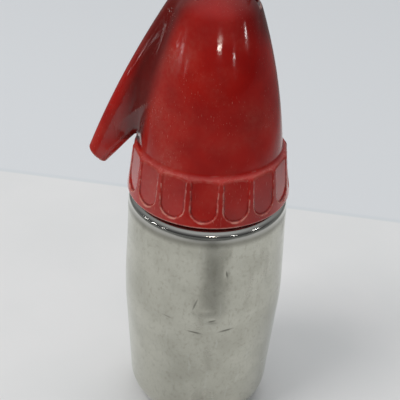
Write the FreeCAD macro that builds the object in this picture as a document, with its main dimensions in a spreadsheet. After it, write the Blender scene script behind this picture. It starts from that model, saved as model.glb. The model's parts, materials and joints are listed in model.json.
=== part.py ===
import FreeCAD, Part
import Sketcher
import math
import os
import re

# Soda siphon. The origin is the middle of the base, +Z is up and the beak points to -X.
# All sizes are in millimetres and all angles in degrees.
doc = FreeCAD.newDocument("SodaSiphon")
sheet = doc.addObject("Spreadsheet::Sheet", "Sizes")

SIZES = {
    # Vessel: a spun aluminium bottle with a soft belly, a rounded shoulder and a pushed-up bottom
    "foot_inner": 22.0,
    "foot_round": 20.0,
    "foot_radius": 45.1,
    "base_dome": 6.0,
    "belly_radius": 48.9,
    "belly_height": 87.6,
    "belly_blend": 11.9,
    "belly_curve": 250.0,
    "shoulder_radius": 46.5,
    "shoulder_round": 6.0,
    "shoulder_height": 155.0,
    "vessel_wall": 1.6,
    "neck_radius": 36.0,
    "neck_root_round": 1.5,
    "neck_height": 16.5,
    # Screw thread between the vessel and the head
    "thread_pitch": 4.0,
    "thread_turns": 2.4,
    "skirt_thread_turns": 2.0,
    "thread_root_width": 2.2,
    "thread_crest_width": 1.2,
    "thread_sink": 0.2,
    "thread_start": 3.0,
    "thread_depth": 1.3,
    "neck_ring_wall": 1.6,
    "thread_gap": 0.5,
    "skirt_ring_wall": 2.1,
    "skirt_ring_height": 14.0,
    "skirt_ring_inset": 1.5,
    # Gasket, slip washer and flange on top of the vessel's rim
    "seal_inner": 32.0,
    "seal_overhang": 0.2,
    "gasket_thickness": 2.0,
    "washer_thickness": 0.6,
    "flange_radius": 38.4,
    "flange_thickness": 4.0,
    "flange_gap": 0.5,
    # Head: fluted skirt, bullet and nose in one moulding
    "skirt_gap": 2.0,
    "skirt_radius": 47.0,
    "skirt_edge": 1.0,
    "skirt_height": 27.5,
    "ledge_radius": 44.0,
    "ledge_round": 1.8,
    "ledge_fillet": 3.0,
    "bullet_base": 40.4,
    "bullet_curve": 337.0,
    "nose_start": 80.0,
    "nose_start_radius": 23.1,
    "nose_radius": 24.6,
    "cavity_base": 34.0,
    "cavity_straight": 12.0,
    "cavity_top_radius": 19.5,
    "cavity_curve": 330.0,
    "roof_thickness": 10.5,
    "flute_count": 16.0,
    "flute_width": 14.1,
    "flute_depth": 1.25,
    "flute_land": 3.4,
    "flute_turn": -2.2,
    "cutter_clearance": 1.0,
    # Beak: straight rounded ridge, concave flanks, square-cut end
    "beak_reach": 69.2,
    "beak_drop": 6.8,
    "beak_lean": 25.8,
    "beak_half_width": 5.5,
    "beak_end_depth": 13.0,
    "outlet_tilt": 42.0,
    "beak_root_sink": 5.0,
    "beak_root_half": 13.0,
    "beak_upper_half": 12.0,
    "beak_throat_half": 8.0,
    "beak_overrun": 2.0,
    "beak_top_inset": 9.348,
    "beak_top_drop": 7.134,
    "beak_top_depth": 8.8,
    "beak_top_half": 6.6,
    # Lever in its slot across the nose
    "slot_depth_below_top": 13.9,
    "slot_half_width": 6.2,
    "slot_front": 16.4,
    "lever_gap": 0.2,
    "pivot_offset": 11.0,
    "pivot_rise": 7.0,
    "pin_radius": 1.8,
    "pin_gap": 0.05,
    "pin_length": 25.2,
    "eye_radius": 4.6,
    "lever_bottom_gap": 0.1,
    "arm_thickness": 7.6,
    "arm_back_overhang": 1.4,
    "arm_back_under": 5.0,
    "arm_back_rise": 1.2,
    "thumb_root_inset": 4.4,
    "thumb_root_under": 4.18,
    "thumb_end_slant": 0.96,
    "thumb_reach": 43.0,
    "thumb_rise": 13.5,
    "thumb_half_width": 9.0,
    "thumb_thickness": 3.2,
    "thumb_curve": 60.0,
    "thumb_corner": 6.0,
    # Valve column and its inner parts
    "column_radius": 9.0,
    "column_foot_radius": 12.0,
    "column_foot_height": 4.0,
    "column_seal_height": 0.8,
    "column_neck_radius": 4.4,
    "lower_bore": 6.5,
    "upper_bore": 5.5,
    "upper_bore_height": 23.0,
    "seat_height": 39.9,
    "seat_thickness": 4.0,
    "seat_bore": 3.4,
    "packing_radius": 4.2,
    "bush_height": 6.5,
    "stem_seal_height": 3.0,
    "nut_radius": 5.9,
    "nut_height": 1.4,
    "nut_stand": 0.3,
    "stem_radius": 2.2,
    "stem_gap": 0.05,
    "stem_above_slot": 4.8,
    "stem_tip_sag": 0.66,
    "poppet_radius": 5.2,
    "poppet_height": 3.0,
    "poppet_face": 2.4,
    "face_gap": 0.1,
    "spring_mean_radius": 4.4,
    "spring_wire": 0.5,
    "spring_length": 20.0,
    "spring_turns": 7.0,
    "tube_nut_height": 14.0,
    "tube_nut_stop": 3.0,
    "dip_radius": 4.0,
    "dip_bore": 3.0,
    "dip_clearance": 3.0,
    # Outlet tube and tip in the beak
    "outlet_radius": 3.2,
    "outlet_bore": 2.4,
    "outlet_inset": 0.5,
    "outlet_start": 8.0,
    "outlet_port_depth": 8.0,
    "tip_radius": 4.4,
    "tip_length": 6.0,
    # Gas inlet on the far side of the head
    "inlet_height": 26.4,
    "inlet_offset": 24.0,
    "nipple_radius": 7.0,
    "nipple_root": 4.5,
    "nipple_inset": 4.6,
    "nipple_cup_radius": 5.0,
    "nipple_cup_depth": 6.8,
    "gas_bore": 1.5,
    "nipple_plug": 2.5,
    "pierce_radius": 0.9,
    "pierce_bore": 0.4,
    "pierce_length": 2.2,
    "pierce_root": 4.0,
    "gas_tube_radius": 2.5,
    "gas_tube_seat": 3.0,
    "cap_radius": 9.6,
    "cap_gap": 0.2,
    "cap_pocket_gap": 0.6,
    "cap_thickness": 3.0,
    "cap_spigot_radius": 4.6,
    "cap_spigot_length": 3.8,
    # One-way valve under the flange
    "check_head_radius": 6.2,
    "check_head_height": 3.3,
    "check_radius": 5.0,
    "check_length": 15.6,
    "check_spigot_radius": 4.0,
    "check_spigot_height": 2.9,
    "check_bore": 3.7,
    "check_seat_drop": 5.1,
    "check_lip_bore": 2.6,
    "check_lip_height": 1.5,
    "check_poppet_radius": 3.0,
    "check_poppet_height": 3.0,
    "check_spring_radius": 2.5,
    "check_spring_wire": 0.3,
    "check_spring_turns": 5.0,
}
for row, (word, size) in enumerate(SIZES.items(), start=1):
    sheet.set(f"A{row}", str(size))
    sheet.setAlias(f"A{row}", word)
doc.recompute()

# Levels up the siphon, each worked out from the sizes
RIM = "(shoulder_height + neck_height)"
SKIRT_BASE = "(shoulder_height + skirt_gap)"
LEDGE = "(shoulder_height + skirt_gap + skirt_height)"
GASKET_TOP = f"({RIM} + gasket_thickness)"
FLANGE_BASE = f"({RIM} + gasket_thickness + washer_thickness)"
FLANGE_TOP = f"({FLANGE_BASE} + flange_thickness)"
NOSE_CENTRE = f"({LEDGE} + nose_start - sqrt(nose_radius^2 - nose_start_radius^2))"
NOSE_TOP = f"({NOSE_CENTRE} + nose_radius)"
SLOT_FLOOR = f"({NOSE_TOP} - slot_depth_below_top)"
ROOF = f"({SLOT_FLOOR} - roof_thickness)"
PIVOT = f"({SLOT_FLOOR} + pivot_rise)"
STEM_TOP = f"({SLOT_FLOOR} + stem_above_slot)"
SEAT = f"({FLANGE_TOP} + seat_height)"
SEAT_TOP = f"({SEAT} + seat_thickness)"
CHAMBER_TOP = f"({SEAT_TOP} + upper_bore_height)"
PACKING_TOP = f"({CHAMBER_TOP} + bush_height + stem_seal_height)"
POPPET_FACE = f"({SEAT} - face_gap)"
POPPET_BASE = f"({SEAT} - face_gap - poppet_face - poppet_height)"
SPRING_BASE = f"({POPPET_BASE} - spring_length)"
INLET = f"({FLANGE_TOP} + inlet_height)"

# How far the gas nipple's two ends lie from the axis
NIPPLE_INNER = "(inlet_offset - nipple_root)"
NIPPLE_FACE = "(bullet_base - nipple_inset)"

# Radii of the screw joint, from the neck outwards
NECK_RING = "(neck_radius + neck_ring_wall)"
NECK_CREST = f"({NECK_RING} + thread_depth)"
SKIRT_RING = f"({NECK_CREST} + thread_gap)"
SKIRT_CREST = f"({SKIRT_RING} - thread_depth)"
SKIRT_BORE = f"({SKIRT_RING} + skirt_ring_wall)"

# Sections up the beak: share of the ridge's length, dip of the section in degrees, half width at its root
BEAK_STATIONS = [
    (0.24, 34.0, "beak_throat_half"),
    (0.42, 22.0, "beak_root_half"),
    (0.62, 12.0, "beak_root_half"),
    (0.82, 5.0, "beak_root_half"),
    (1.0, 0.0, "beak_upper_half"),
]

X_AXIS = FreeCAD.Vector(1, 0, 0)
Y_AXIS = FreeCAD.Vector(0, 1, 0)
Z_AXIS = FreeCAD.Vector(0, 0, 1)


def bind(text):
    """An expression in words, written as the document's expression on the sheet."""
    return re.sub(r"[a-z]+(?:_[a-z]+)+", lambda word: "Sizes." + word.group(0), text)


def value(text):
    """The number that an expression gives now."""
    return float(sheet.evalExpression(bind(text)))


def new_body(label):
    body = doc.addObject("PartDesign::Body", label)
    body.Label = label
    return body


def origin_part(body, role):
    return next(part for part in body.Origin.OriginFeatures if part.Role == role)


def new_sketch(body, name, role, offset=None):
    sketch = body.newObject("Sketcher::SketchObject", name)
    sketch.AttachmentSupport = [(origin_part(body, role), "")]
    sketch.MapMode = "FlatFace"
    if offset is not None:
        sketch.AttachmentOffset = offset
    return sketch


def plane_at(origin, across, normal):
    """A sketch plane at a point, with its own X along one direction and its normal along another."""
    return FreeCAD.Placement(origin, FreeCAD.Rotation(across, FreeCAD.Vector(), normal, "ZXY"))


def drive(sketch, kind, geometry, end, text):
    """Holds one coordinate of a point at an expression."""
    size = value(text)
    if abs(size) < 1e-9:
        axis = -2 if kind == "DistanceX" else -1
        sketch.addConstraint(Sketcher.Constraint("PointOnObject", geometry, end, axis))
        return
    number = sketch.addConstraint(Sketcher.Constraint(kind, -1, 1, geometry, end, size))
    sketch.setExpression(f"Constraints[{number}]", bind(text))


def arc_side(start, end, radius, turn):
    """The arc from start to end, turning left (+1) or right (-1), and which of its ends comes first."""
    chord = end - start
    left = FreeCAD.Vector(-chord.y, chord.x, 0).normalize()
    rise = math.sqrt(max(radius ** 2 - chord.Length ** 2 / 4, 0))
    centre = (start + end) * 0.5 + left * (rise * turn)
    from_angle = math.atan2(start.y - centre.y, start.x - centre.x)
    to_angle = math.atan2(end.y - centre.y, end.x - centre.x)
    circle = Part.Circle(centre, Z_AXIS, radius)
    if turn > 0:
        return Part.ArcOfCircle(circle, from_angle, to_angle), (1, 2)
    return Part.ArcOfCircle(circle, to_angle, from_angle), (2, 1)


def draw(sketch, points, arcs=None):
    """A closed outline through points; arcs gives the radius and turn of a side by its number."""
    arcs = arcs or {}
    places = [FreeCAD.Vector(value(x), value(y), 0) for x, y in points]
    ends = []
    for side, start in enumerate(places):
        end = places[(side + 1) % len(places)]
        if side in arcs:
            radius, turn = arcs[side]
            curve, order = arc_side(start, end, value(radius), turn)
        else:
            curve, order = Part.LineSegment(start, end), (1, 2)
        sketch.addGeometry(curve, False)
        ends.append(order)
    for side, order in enumerate(ends):
        after = (side + 1) % len(places)
        sketch.addConstraint(Sketcher.Constraint("Coincident", side, order[1], after, ends[after][0]))
    for side, (x, y) in enumerate(points):
        drive(sketch, "DistanceX", side, ends[side][0], x)
        drive(sketch, "DistanceY", side, ends[side][0], y)
    for side, (radius, turn) in arcs.items():
        number = sketch.addConstraint(Sketcher.Constraint("Radius", side, value(radius)))
        sketch.setExpression(f"Constraints[{number}]", bind(radius))


def draw_circle(sketch, x, y, radius):
    """A circle whose centre and radius are held at expressions."""
    centre = FreeCAD.Vector(value(x), value(y), 0)
    sketch.addGeometry(Part.Circle(centre, Z_AXIS, value(radius)), False)
    if abs(centre.x) < 1e-9 and abs(centre.y) < 1e-9:
        sketch.addConstraint(Sketcher.Constraint("Coincident", 0, 3, -1, 1))
    else:
        drive(sketch, "DistanceX", 0, 3, x)
        drive(sketch, "DistanceY", 0, 3, y)
    number = sketch.addConstraint(Sketcher.Constraint("Radius", 0, value(radius)))
    sketch.setExpression(f"Constraints[{number}]", bind(radius))


def turn_section(body, name, points, arcs=None, kind="PartDesign::Revolution"):
    """Turns a half section in the XZ plane about the body's own Z axis."""
    sketch = new_sketch(body, name + "_section", "XZ_Plane")
    draw(sketch, points, arcs)
    feature = body.newObject(kind, name)
    feature.Profile = sketch
    feature.ReferenceAxis = (sketch, ["V_Axis"])
    feature.Angle = 360
    doc.recompute()
    return feature


def turned(label, points, arcs=None):
    body = new_body(label)
    turn_section(body, label + "_turned", points, arcs)
    return body


def ring(label, inner, outer, low, high):
    """A plain turned ring or disc."""
    return turned(label, [(inner, low), (outer, low), (outer, high), (inner, high)])


def cut(body, name, sketch, length, both_ways=False, through=False):
    """Cuts a sketch's outline out of a body and makes sure that something went."""
    before = body.Shape.Volume
    feature = body.newObject("PartDesign::Pocket", name)
    feature.Profile = sketch
    feature.Midplane = both_ways
    if through:
        feature.Type = 1
    else:
        feature.setExpression("Length", bind(length))
    doc.recompute()
    if not body.Shape.Volume < before - 1e-3:
        raise RuntimeError(name + " removes nothing")
    return feature


def helix(body, name, points, pitch, height):
    """Sweeps a small closed outline up a right-handed helix about the body's Z axis."""
    sketch = new_sketch(body, name + "_section", "XZ_Plane")
    if len(points) == 3:
        draw_circle(sketch, *points)
    else:
        draw(sketch, points)
    feature = body.newObject("PartDesign::AdditiveHelix", name)
    feature.Profile = sketch
    feature.ReferenceAxis = (sketch, ["V_Axis"])
    feature.Mode = 0
    feature.setExpression("Pitch", bind(pitch))
    feature.setExpression("Height", bind(height))
    doc.recompute()
    return feature


def vessel_shell():
    """The hollow bottle: one wall thickness from the pushed-up bottom to the rim."""
    wall_top = "(shoulder_height - shoulder_round)"
    upper = f"(belly_radius - belly_blend * (belly_radius - shoulder_radius) / ({wall_top} - belly_height))"
    lower = "(belly_radius - belly_blend * (belly_radius - foot_radius) / (belly_height - foot_round))"
    dome = "((foot_inner^2 + base_dome^2) / (2 * base_dome))"
    points = [
        ("foot_inner", "0"),
        ("foot_radius - foot_round", "0"),
        ("foot_radius", "foot_round"),
        (lower, "belly_height - belly_blend"),
        (upper, "belly_height + belly_blend"),
        ("shoulder_radius", wall_top),
        ("shoulder_radius - shoulder_round", "shoulder_height"),
        ("neck_radius + neck_root_round", "shoulder_height"),
        ("neck_radius", "shoulder_height + neck_root_round"),
        ("neck_radius", RIM),
        ("neck_radius - vessel_wall", RIM),
        ("neck_radius - vessel_wall", "shoulder_height - vessel_wall"),
        ("shoulder_radius - shoulder_round", "shoulder_height - vessel_wall"),
        ("shoulder_radius - vessel_wall", wall_top),
        (f"{upper} - vessel_wall", "belly_height + belly_blend"),
        (f"{lower} - vessel_wall", "belly_height - belly_blend"),
        ("foot_radius - vessel_wall", "foot_round"),
        ("foot_radius - foot_round", "vessel_wall"),
        ("foot_inner", "vessel_wall"),
        ("0", "base_dome + vessel_wall"),
        ("0", "base_dome"),
    ]
    arcs = {
        1: ("foot_round", 1),
        3: ("belly_curve", 1),
        5: ("shoulder_round", 1),
        7: ("neck_root_round", -1),
        12: ("shoulder_round - vessel_wall", -1),
        14: ("belly_curve - vessel_wall", -1),
        16: ("foot_round - vessel_wall", -1),
        18: (dome, 1),
        20: (dome, -1),
    }
    return turned("vessel_shell", points, arcs)


def thread_outline(root, crest, middle):
    """The blunt ridge of a thread: wide at its root, narrow at its crest."""
    return [
        (root, f"{middle} - thread_root_width / 2"),
        (crest, f"{middle} - thread_crest_width / 2"),
        (crest, f"{middle} + thread_crest_width / 2"),
        (root, f"{middle} + thread_root_width / 2"),
    ]


def neck_ring():
    """The threaded ring that is pressed on the vessel's neck, from its shoulder to its rim."""
    low = "(shoulder_height + neck_root_round)"
    body = ring("neck_ring", "neck_radius", NECK_RING, low, RIM)
    middle = f"({low} + thread_start)"
    outline = thread_outline(f"{NECK_RING} - thread_sink", NECK_CREST, middle)
    helix(body, "neck_thread", outline, "thread_pitch", "thread_pitch * thread_turns")
    return body


def skirt_thread_ring():
    """The threaded ring moulded in the skirt, half a pitch out of step with the neck's ridges."""
    low = f"({SKIRT_BASE} + skirt_ring_inset)"
    body = ring("skirt_thread_ring", SKIRT_RING, SKIRT_BORE, low, f"{low} + skirt_ring_height")
    middle = "(shoulder_height + neck_root_round + thread_start + thread_pitch / 2)"
    outline = thread_outline(f"{SKIRT_RING} + thread_sink", SKIRT_CREST, middle)
    helix(body, "skirt_thread", outline, "thread_pitch", "thread_pitch * skirt_thread_turns")
    return body


def beak_plane(along, dip, depth_in=0.0):
    """A plane across the beak: a distance up the ridge line, dipping inwards by an angle."""
    lean = math.radians(value("beak_lean"))
    ridge = FreeCAD.Vector(-value("beak_reach") + along * math.sin(lean), 0,
                           value(f"{LEDGE} - beak_drop") + along * math.cos(lean))
    inward = FreeCAD.Vector(math.cos(math.radians(dip)), 0, -math.sin(math.radians(dip)))
    return plane_at(ridge + inward * depth_in, inward, inward.cross(Y_AXIS))


def bullet_radius(level):
    """The bullet's outer radius at a height above the ledge."""
    start = FreeCAD.Vector(value("bullet_base"), 0, 0)
    end = FreeCAD.Vector(value("nose_start_radius"), value("nose_start"), 0)
    curve = value("bullet_curve")
    chord = end - start
    rise = math.sqrt(curve ** 2 - chord.Length ** 2 / 4)
    left = FreeCAD.Vector(-chord.y, chord.x, 0).normalize()
    centre = (start + end) * 0.5 + left * rise
    return centre.x + math.sqrt(curve ** 2 - (level - centre.y) ** 2)


def beak_section(body, number, plane, depth, root_half):
    """One section of the beak: a round ridge, flanks that spread towards the bullet, a straight root."""
    sketch = new_sketch(body, f"beak_section_{number}", "XY_Plane", plane)
    half = "beak_half_width"
    spread = f"(({depth} - {half})^2 + ({root_half} - {half})^2) / (2 * ({root_half} - {half}))"
    points = [("0", "0"), (half, f"-{half}"), (depth, f"-({root_half})"), (depth, "0"),
              (depth, root_half), (half, half)]
    draw(sketch, points, {0: (half, 1), 1: (spread, -1), 4: (spread, -1), 5: (half, 1)})
    return sketch


def beak_end(body):
    """The beak's square-cut end: a slot shape with both ends round."""
    sketch = new_sketch(body, "beak_end", "XY_Plane", beak_plane(0.0, value("outlet_tilt")))
    half = "beak_half_width"
    deep = "beak_end_depth"
    points = [("0", "0"), (half, f"-{half}"), (f"{deep} - {half}", f"-{half}"), (deep, "0"),
              (f"{deep} - {half}", half), (half, half)]
    draw(sketch, points, {0: (half, 1), 2: (half, 1), 3: (half, 1), 5: (half, 1)})
    return sketch


def add_beak(body):
    """Lofts the beak from its end to the nose; its root lies inside the bullet."""
    lean = math.radians(value("beak_lean"))
    length = value("nose_start + beak_drop + beak_overrun") / math.cos(lean)
    sketches = []
    for number, (share, dip, root_half) in enumerate(BEAK_STATIONS, start=1):
        along = share * length
        level = along * math.cos(lean) - value("beak_drop")
        reach = value("beak_reach") - along * math.sin(lean)
        gap = (reach - bullet_radius(min(level, value("nose_start")))) / math.cos(math.radians(dip))
        depth = f"({gap:.3f} + beak_root_sink)"
        sketches.append(beak_section(body, number, beak_plane(along, dip), depth, root_half))
    top = FreeCAD.Vector(-value("beak_top_inset"), 0, value(f"{NOSE_TOP} - beak_top_drop"))
    level_plane = plane_at(top, X_AXIS, X_AXIS.cross(Y_AXIS))
    last = len(BEAK_STATIONS) + 1
    sketches.append(beak_section(body, last, level_plane, "beak_top_depth", "beak_top_half"))
    loft = body.newObject("PartDesign::AdditiveLoft", "beak")
    loft.Profile = beak_end(body)
    loft.Sections = sketches
    loft.Ruled = False
    doc.recompute()


def add_flutes(body):
    """U-shaped recesses round the skirt, open at the top, with flat floors that follow its taper."""
    taper = math.atan2(value("skirt_radius - ledge_radius"), value("skirt_height"))
    turn = math.radians(value("flute_turn"))
    out = FreeCAD.Vector(math.cos(turn), math.sin(turn), 0)
    across = FreeCAD.Vector(-math.sin(turn), math.cos(turn), 0)
    normal = out * math.cos(taper) + Z_AXIS * math.sin(taper)
    foot = out * value("skirt_radius") + Z_AXIS * value(SKIRT_BASE)
    stand_off = foot + normal * value("cutter_clearance")
    sketch = new_sketch(body, "flute_outline", "XY_Plane", plane_at(stand_off, across, normal))
    half = "flute_width / 2"
    high = "skirt_height + ledge_round"
    points = [(f"-{half}", high), (f"-{half}", f"flute_land + {half}"), ("0", "flute_land"),
              (half, f"flute_land + {half}"), (half, high)]
    draw(sketch, points, {1: (half, 1), 2: (half, 1)})
    flute = cut(body, "flute", sketch, "flute_depth + cutter_clearance")
    pattern = body.newObject("PartDesign::PolarPattern", "flutes")
    pattern.Originals = [flute]
    pattern.Axis = (origin_part(body, "Z_Axis"), [""])
    pattern.Angle = 360
    pattern.setExpression("Occurrences", bind("flute_count"))
    body.Tip = pattern
    doc.recompute()


def hollow_head(body):
    """Cuts the bore for the threaded ring, the flange's seat, the valve's room and its neck hole."""
    points = [
        ("0", "0"),
        (SKIRT_BORE, "0"),
        (SKIRT_BORE, f"{SKIRT_BASE} + skirt_ring_inset + skirt_ring_height"),
        ("flange_radius + flange_gap", f"{SKIRT_BASE} + skirt_ring_inset + skirt_ring_height"),
        ("flange_radius + flange_gap", FLANGE_TOP),
        ("cavity_base", FLANGE_TOP),
        ("cavity_base", f"{FLANGE_TOP} + cavity_straight"),
        ("cavity_top_radius", ROOF),
        ("column_neck_radius", ROOF),
        ("column_neck_radius", f"{NOSE_TOP} + cutter_clearance"),
        ("0", f"{NOSE_TOP} + cutter_clearance"),
    ]
    before = body.Shape.Volume
    turn_section(body, "head_room", points, {6: ("cavity_curve", 1)}, "PartDesign::Groove")
    if not body.Shape.Volume < before:
        raise RuntimeError("the head is still solid")


def cut_slot_and_pin(body):
    """The lever's slot, open at the back and the top, and the pivot's cross hole."""
    sketch = new_sketch(body, "slot_outline", "XZ_Plane")
    high = f"{NOSE_TOP} + nose_radius"
    points = [("-slot_front", SLOT_FLOOR), ("nose_radius * 2", SLOT_FLOOR), ("nose_radius * 2", high),
              ("-slot_front", high)]
    draw(sketch, points)
    cut(body, "lever_slot", sketch, "2 * slot_half_width", both_ways=True)
    sketch = new_sketch(body, "pin_outline", "XZ_Plane")
    draw_circle(sketch, "-pivot_offset", PIVOT, "pin_radius")
    cut(body, "pin_hole", sketch, "nose_radius * 4", both_ways=True)


def cut_outlet(body):
    """The slanting bore in the beak for the outlet tube, with a wider mouth for the tip."""
    up = outlet_line()[1]
    plane = plane_at(beak_end_middle(), Y_AXIS, up * -1)
    for name, radius, length in (
            ("outlet_hole", "outlet_radius", "(beak_reach - cavity_top_radius) / sin(outlet_tilt)"),
            ("tip_hole", "tip_radius", "tip_length")):
        sketch = new_sketch(body, name + "_outline", "XY_Plane", plane)
        draw_circle(sketch, "0", "0", radius)
        cut(body, name, sketch, length)


def cut_inlet(body):
    """The hole for the gas nipple on the far side, and the flat pocket for its cap."""
    plane = plane_at(Y_AXIS * value("skirt_radius"), X_AXIS, Y_AXIS)
    for name, radius, floor in (("nipple_hole", "nipple_radius", NIPPLE_INNER),
                                ("cap_pocket", "cap_radius + cap_pocket_gap", NIPPLE_FACE)):
        sketch = new_sketch(body, name + "_outline", "XY_Plane", plane)
        draw_circle(sketch, "0", f"-{INLET}", radius)
        cut(body, name, sketch, f"skirt_radius - {floor}")


def head_shell():
    """The red moulding: skirt, ledge, bullet and beak, hollow for the valve."""
    body = new_body("head_shell")
    points = [
        ("0", SKIRT_BASE),
        ("skirt_radius - skirt_edge", SKIRT_BASE),
        ("skirt_radius", f"{SKIRT_BASE} + skirt_edge"),
        ("ledge_radius", f"{LEDGE} - ledge_round"),
        ("ledge_radius - ledge_round", LEDGE),
        ("bullet_base", f"{LEDGE} + ledge_fillet"),
        ("nose_start_radius", f"{LEDGE} + nose_start"),
        ("0", NOSE_TOP),
    ]
    arcs = {
        1: ("skirt_edge", 1),
        3: ("ledge_round", 1),
        4: ("ledge_fillet", -1),
        5: ("bullet_curve", 1),
        6: ("nose_radius", 1),
    }
    turn_section(body, "head_outside", points, arcs)
    add_flutes(body)
    add_beak(body)
    hollow_head(body)
    cut_slot_and_pin(body)
    cut_outlet(body)
    cut_inlet(body)
    return body


def seals_on_rim():
    """The rubber gasket on the vessel's rim and the thin washer on top of it."""
    outer = f"({NECK_RING} - seal_overhang)"
    ring("neck_gasket", "seal_inner", outer, RIM, GASKET_TOP)
    ring("slip_washer", "seal_inner", outer, GASKET_TOP, FLANGE_BASE)


def base_flange():
    """The disc that closes the vessel, bored for the column and the one-way valve."""
    body = ring("base_flange", "column_radius", "flange_radius", FLANGE_BASE, FLANGE_TOP)
    plane = plane_at(Z_AXIS * value(FLANGE_TOP), X_AXIS, Z_AXIS)
    sketch = new_sketch(body, "check_hole_outline", "XY_Plane", plane)
    draw_circle(sketch, "0", "inlet_offset", "check_spigot_radius")
    cut(body, "check_hole", sketch, "flange_thickness")
    return body


def valve_body():
    """The turned column: foot under the flange, seat half way up, packing and neck at the top."""
    foot_top = f"({FLANGE_BASE} - column_seal_height)"
    foot = f"({foot_top} - column_foot_height)"
    stem_bore = "(stem_radius + stem_gap)"
    neck_top = f"({SLOT_FLOOR} + nut_height - nut_stand)"
    points = [
        ("lower_bore", foot),
        ("column_foot_radius", foot),
        ("column_foot_radius", foot_top),
        ("column_radius", foot_top),
        ("column_radius", ROOF),
        ("column_neck_radius", ROOF),
        ("column_neck_radius", neck_top),
        (stem_bore, neck_top),
        (stem_bore, PACKING_TOP),
        ("packing_radius", PACKING_TOP),
        ("packing_radius", CHAMBER_TOP),
        ("upper_bore", CHAMBER_TOP),
        ("upper_bore", SEAT_TOP),
        ("seat_bore", SEAT_TOP),
        ("seat_bore", SEAT),
        ("lower_bore", SEAT),
    ]
    body = turned("valve_body", points)
    start, direction = outlet_line()
    for name, radius, depth in (("tube_socket", "outlet_radius", "0"),
                                ("outlet_port", "outlet_bore", "outlet_port_depth")):
        face = start - direction * (value("column_radius") * 2)
        sketch = new_sketch(body, name + "_outline", "XY_Plane", plane_at(face, Y_AXIS, direction * -1))
        draw_circle(sketch, "0", "0", radius)
        cut(body, name, sketch, f"column_radius * 2 + {depth}")
    return body


def beak_end_middle():
    """The middle of the beak's square-cut end."""
    return beak_plane(0.0, value("outlet_tilt"), value("beak_end_depth / 2")).Base


def outlet_line():
    """Where the outlet tube starts inside the column, and its direction up towards the axis."""
    tilt = math.radians(value("outlet_tilt"))
    up = FreeCAD.Vector(math.sin(tilt), 0, math.cos(tilt))
    end = beak_end_middle()
    run = (-value("outlet_start") - end.x) / up.x
    return end + up * run, up


def outlet_parts():
    """The outlet tube along the beak and the metal ring round its mouth."""
    start, up = outlet_line()
    end = beak_end_middle()
    turn = FreeCAD.Rotation(Z_AXIS, up)
    length = (start - end).Length
    tube = ring("outlet_tube", "outlet_bore", "outlet_radius", "outlet_inset", f"{length:.4f}")
    tip = ring("nozzle_tip", "outlet_radius", "tip_radius", "0", "tip_length")
    for body in (tube, tip):
        body.Placement = FreeCAD.Placement(end, turn)


def valve_inside():
    """Everything in the column: packing, stem, washer, spring, plug and the dip tube."""
    stem_bore = "(stem_radius + stem_gap)"
    bush_top = f"({CHAMBER_TOP} + bush_height)"
    ring("gland_bush", stem_bore, "packing_radius", CHAMBER_TOP, bush_top)
    ring("stem_seal", stem_bore, "packing_radius", bush_top, PACKING_TOP)
    ring("gland_nut", "column_neck_radius", "nut_radius", SLOT_FLOOR, f"{SLOT_FLOOR} + nut_height")
    washer_base = f"({POPPET_FACE} - poppet_face)"
    turned("valve_stem", [
        ("0", POPPET_BASE),
        ("poppet_radius", POPPET_BASE),
        ("poppet_radius", washer_base),
        ("stem_radius", washer_base),
        ("stem_radius", f"{STEM_TOP} - stem_tip_sag"),
        ("0", STEM_TOP),
    ], {4: ("(stem_radius^2 + stem_tip_sag^2) / (2 * stem_tip_sag)", 1)})
    ring("stem_washer", "stem_radius", "poppet_radius", washer_base, POPPET_FACE)
    nut_base = f"({SPRING_BASE} - tube_nut_height)"
    tube_top = f"({SPRING_BASE} - tube_nut_stop)"
    turned("tube_nut", [
        ("dip_radius", nut_base),
        ("lower_bore", nut_base),
        ("lower_bore", SPRING_BASE),
        ("dip_bore", SPRING_BASE),
        ("dip_bore", tube_top),
        ("dip_radius", tube_top),
    ])
    ring("dip_tube", "dip_bore", "dip_radius", "base_dome + vessel_wall + dip_clearance", tube_top)
    foot_top = f"({FLANGE_BASE} - column_seal_height)"
    ring("column_seal", "column_radius", "column_foot_radius", foot_top, FLANGE_BASE)


def coil(label, mean_radius, wire, low, high, turns):
    """A round-wire spring that stands on one level and reaches another."""
    body = new_body(label)
    rise = f"({high} - {low} - 2 * {wire})"
    helix(body, label + "_coil", (mean_radius, f"{low} + {wire}", wire), f"{rise} / {turns}", rise)
    return body


def springs():
    coil("valve_spring", "spring_mean_radius", "spring_wire", SPRING_BASE, POPPET_BASE, "spring_turns")
    seat = f"({FLANGE_BASE} - check_seat_drop)"
    low = f"({FLANGE_BASE} - check_length + check_lip_height)"
    high = f"({seat} - face_gap - check_poppet_height)"
    body = coil("check_spring", "check_spring_radius", "check_spring_wire", low, high, "check_spring_turns")
    body.setExpression("Placement.Base.y", bind("inlet_offset"))


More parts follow.
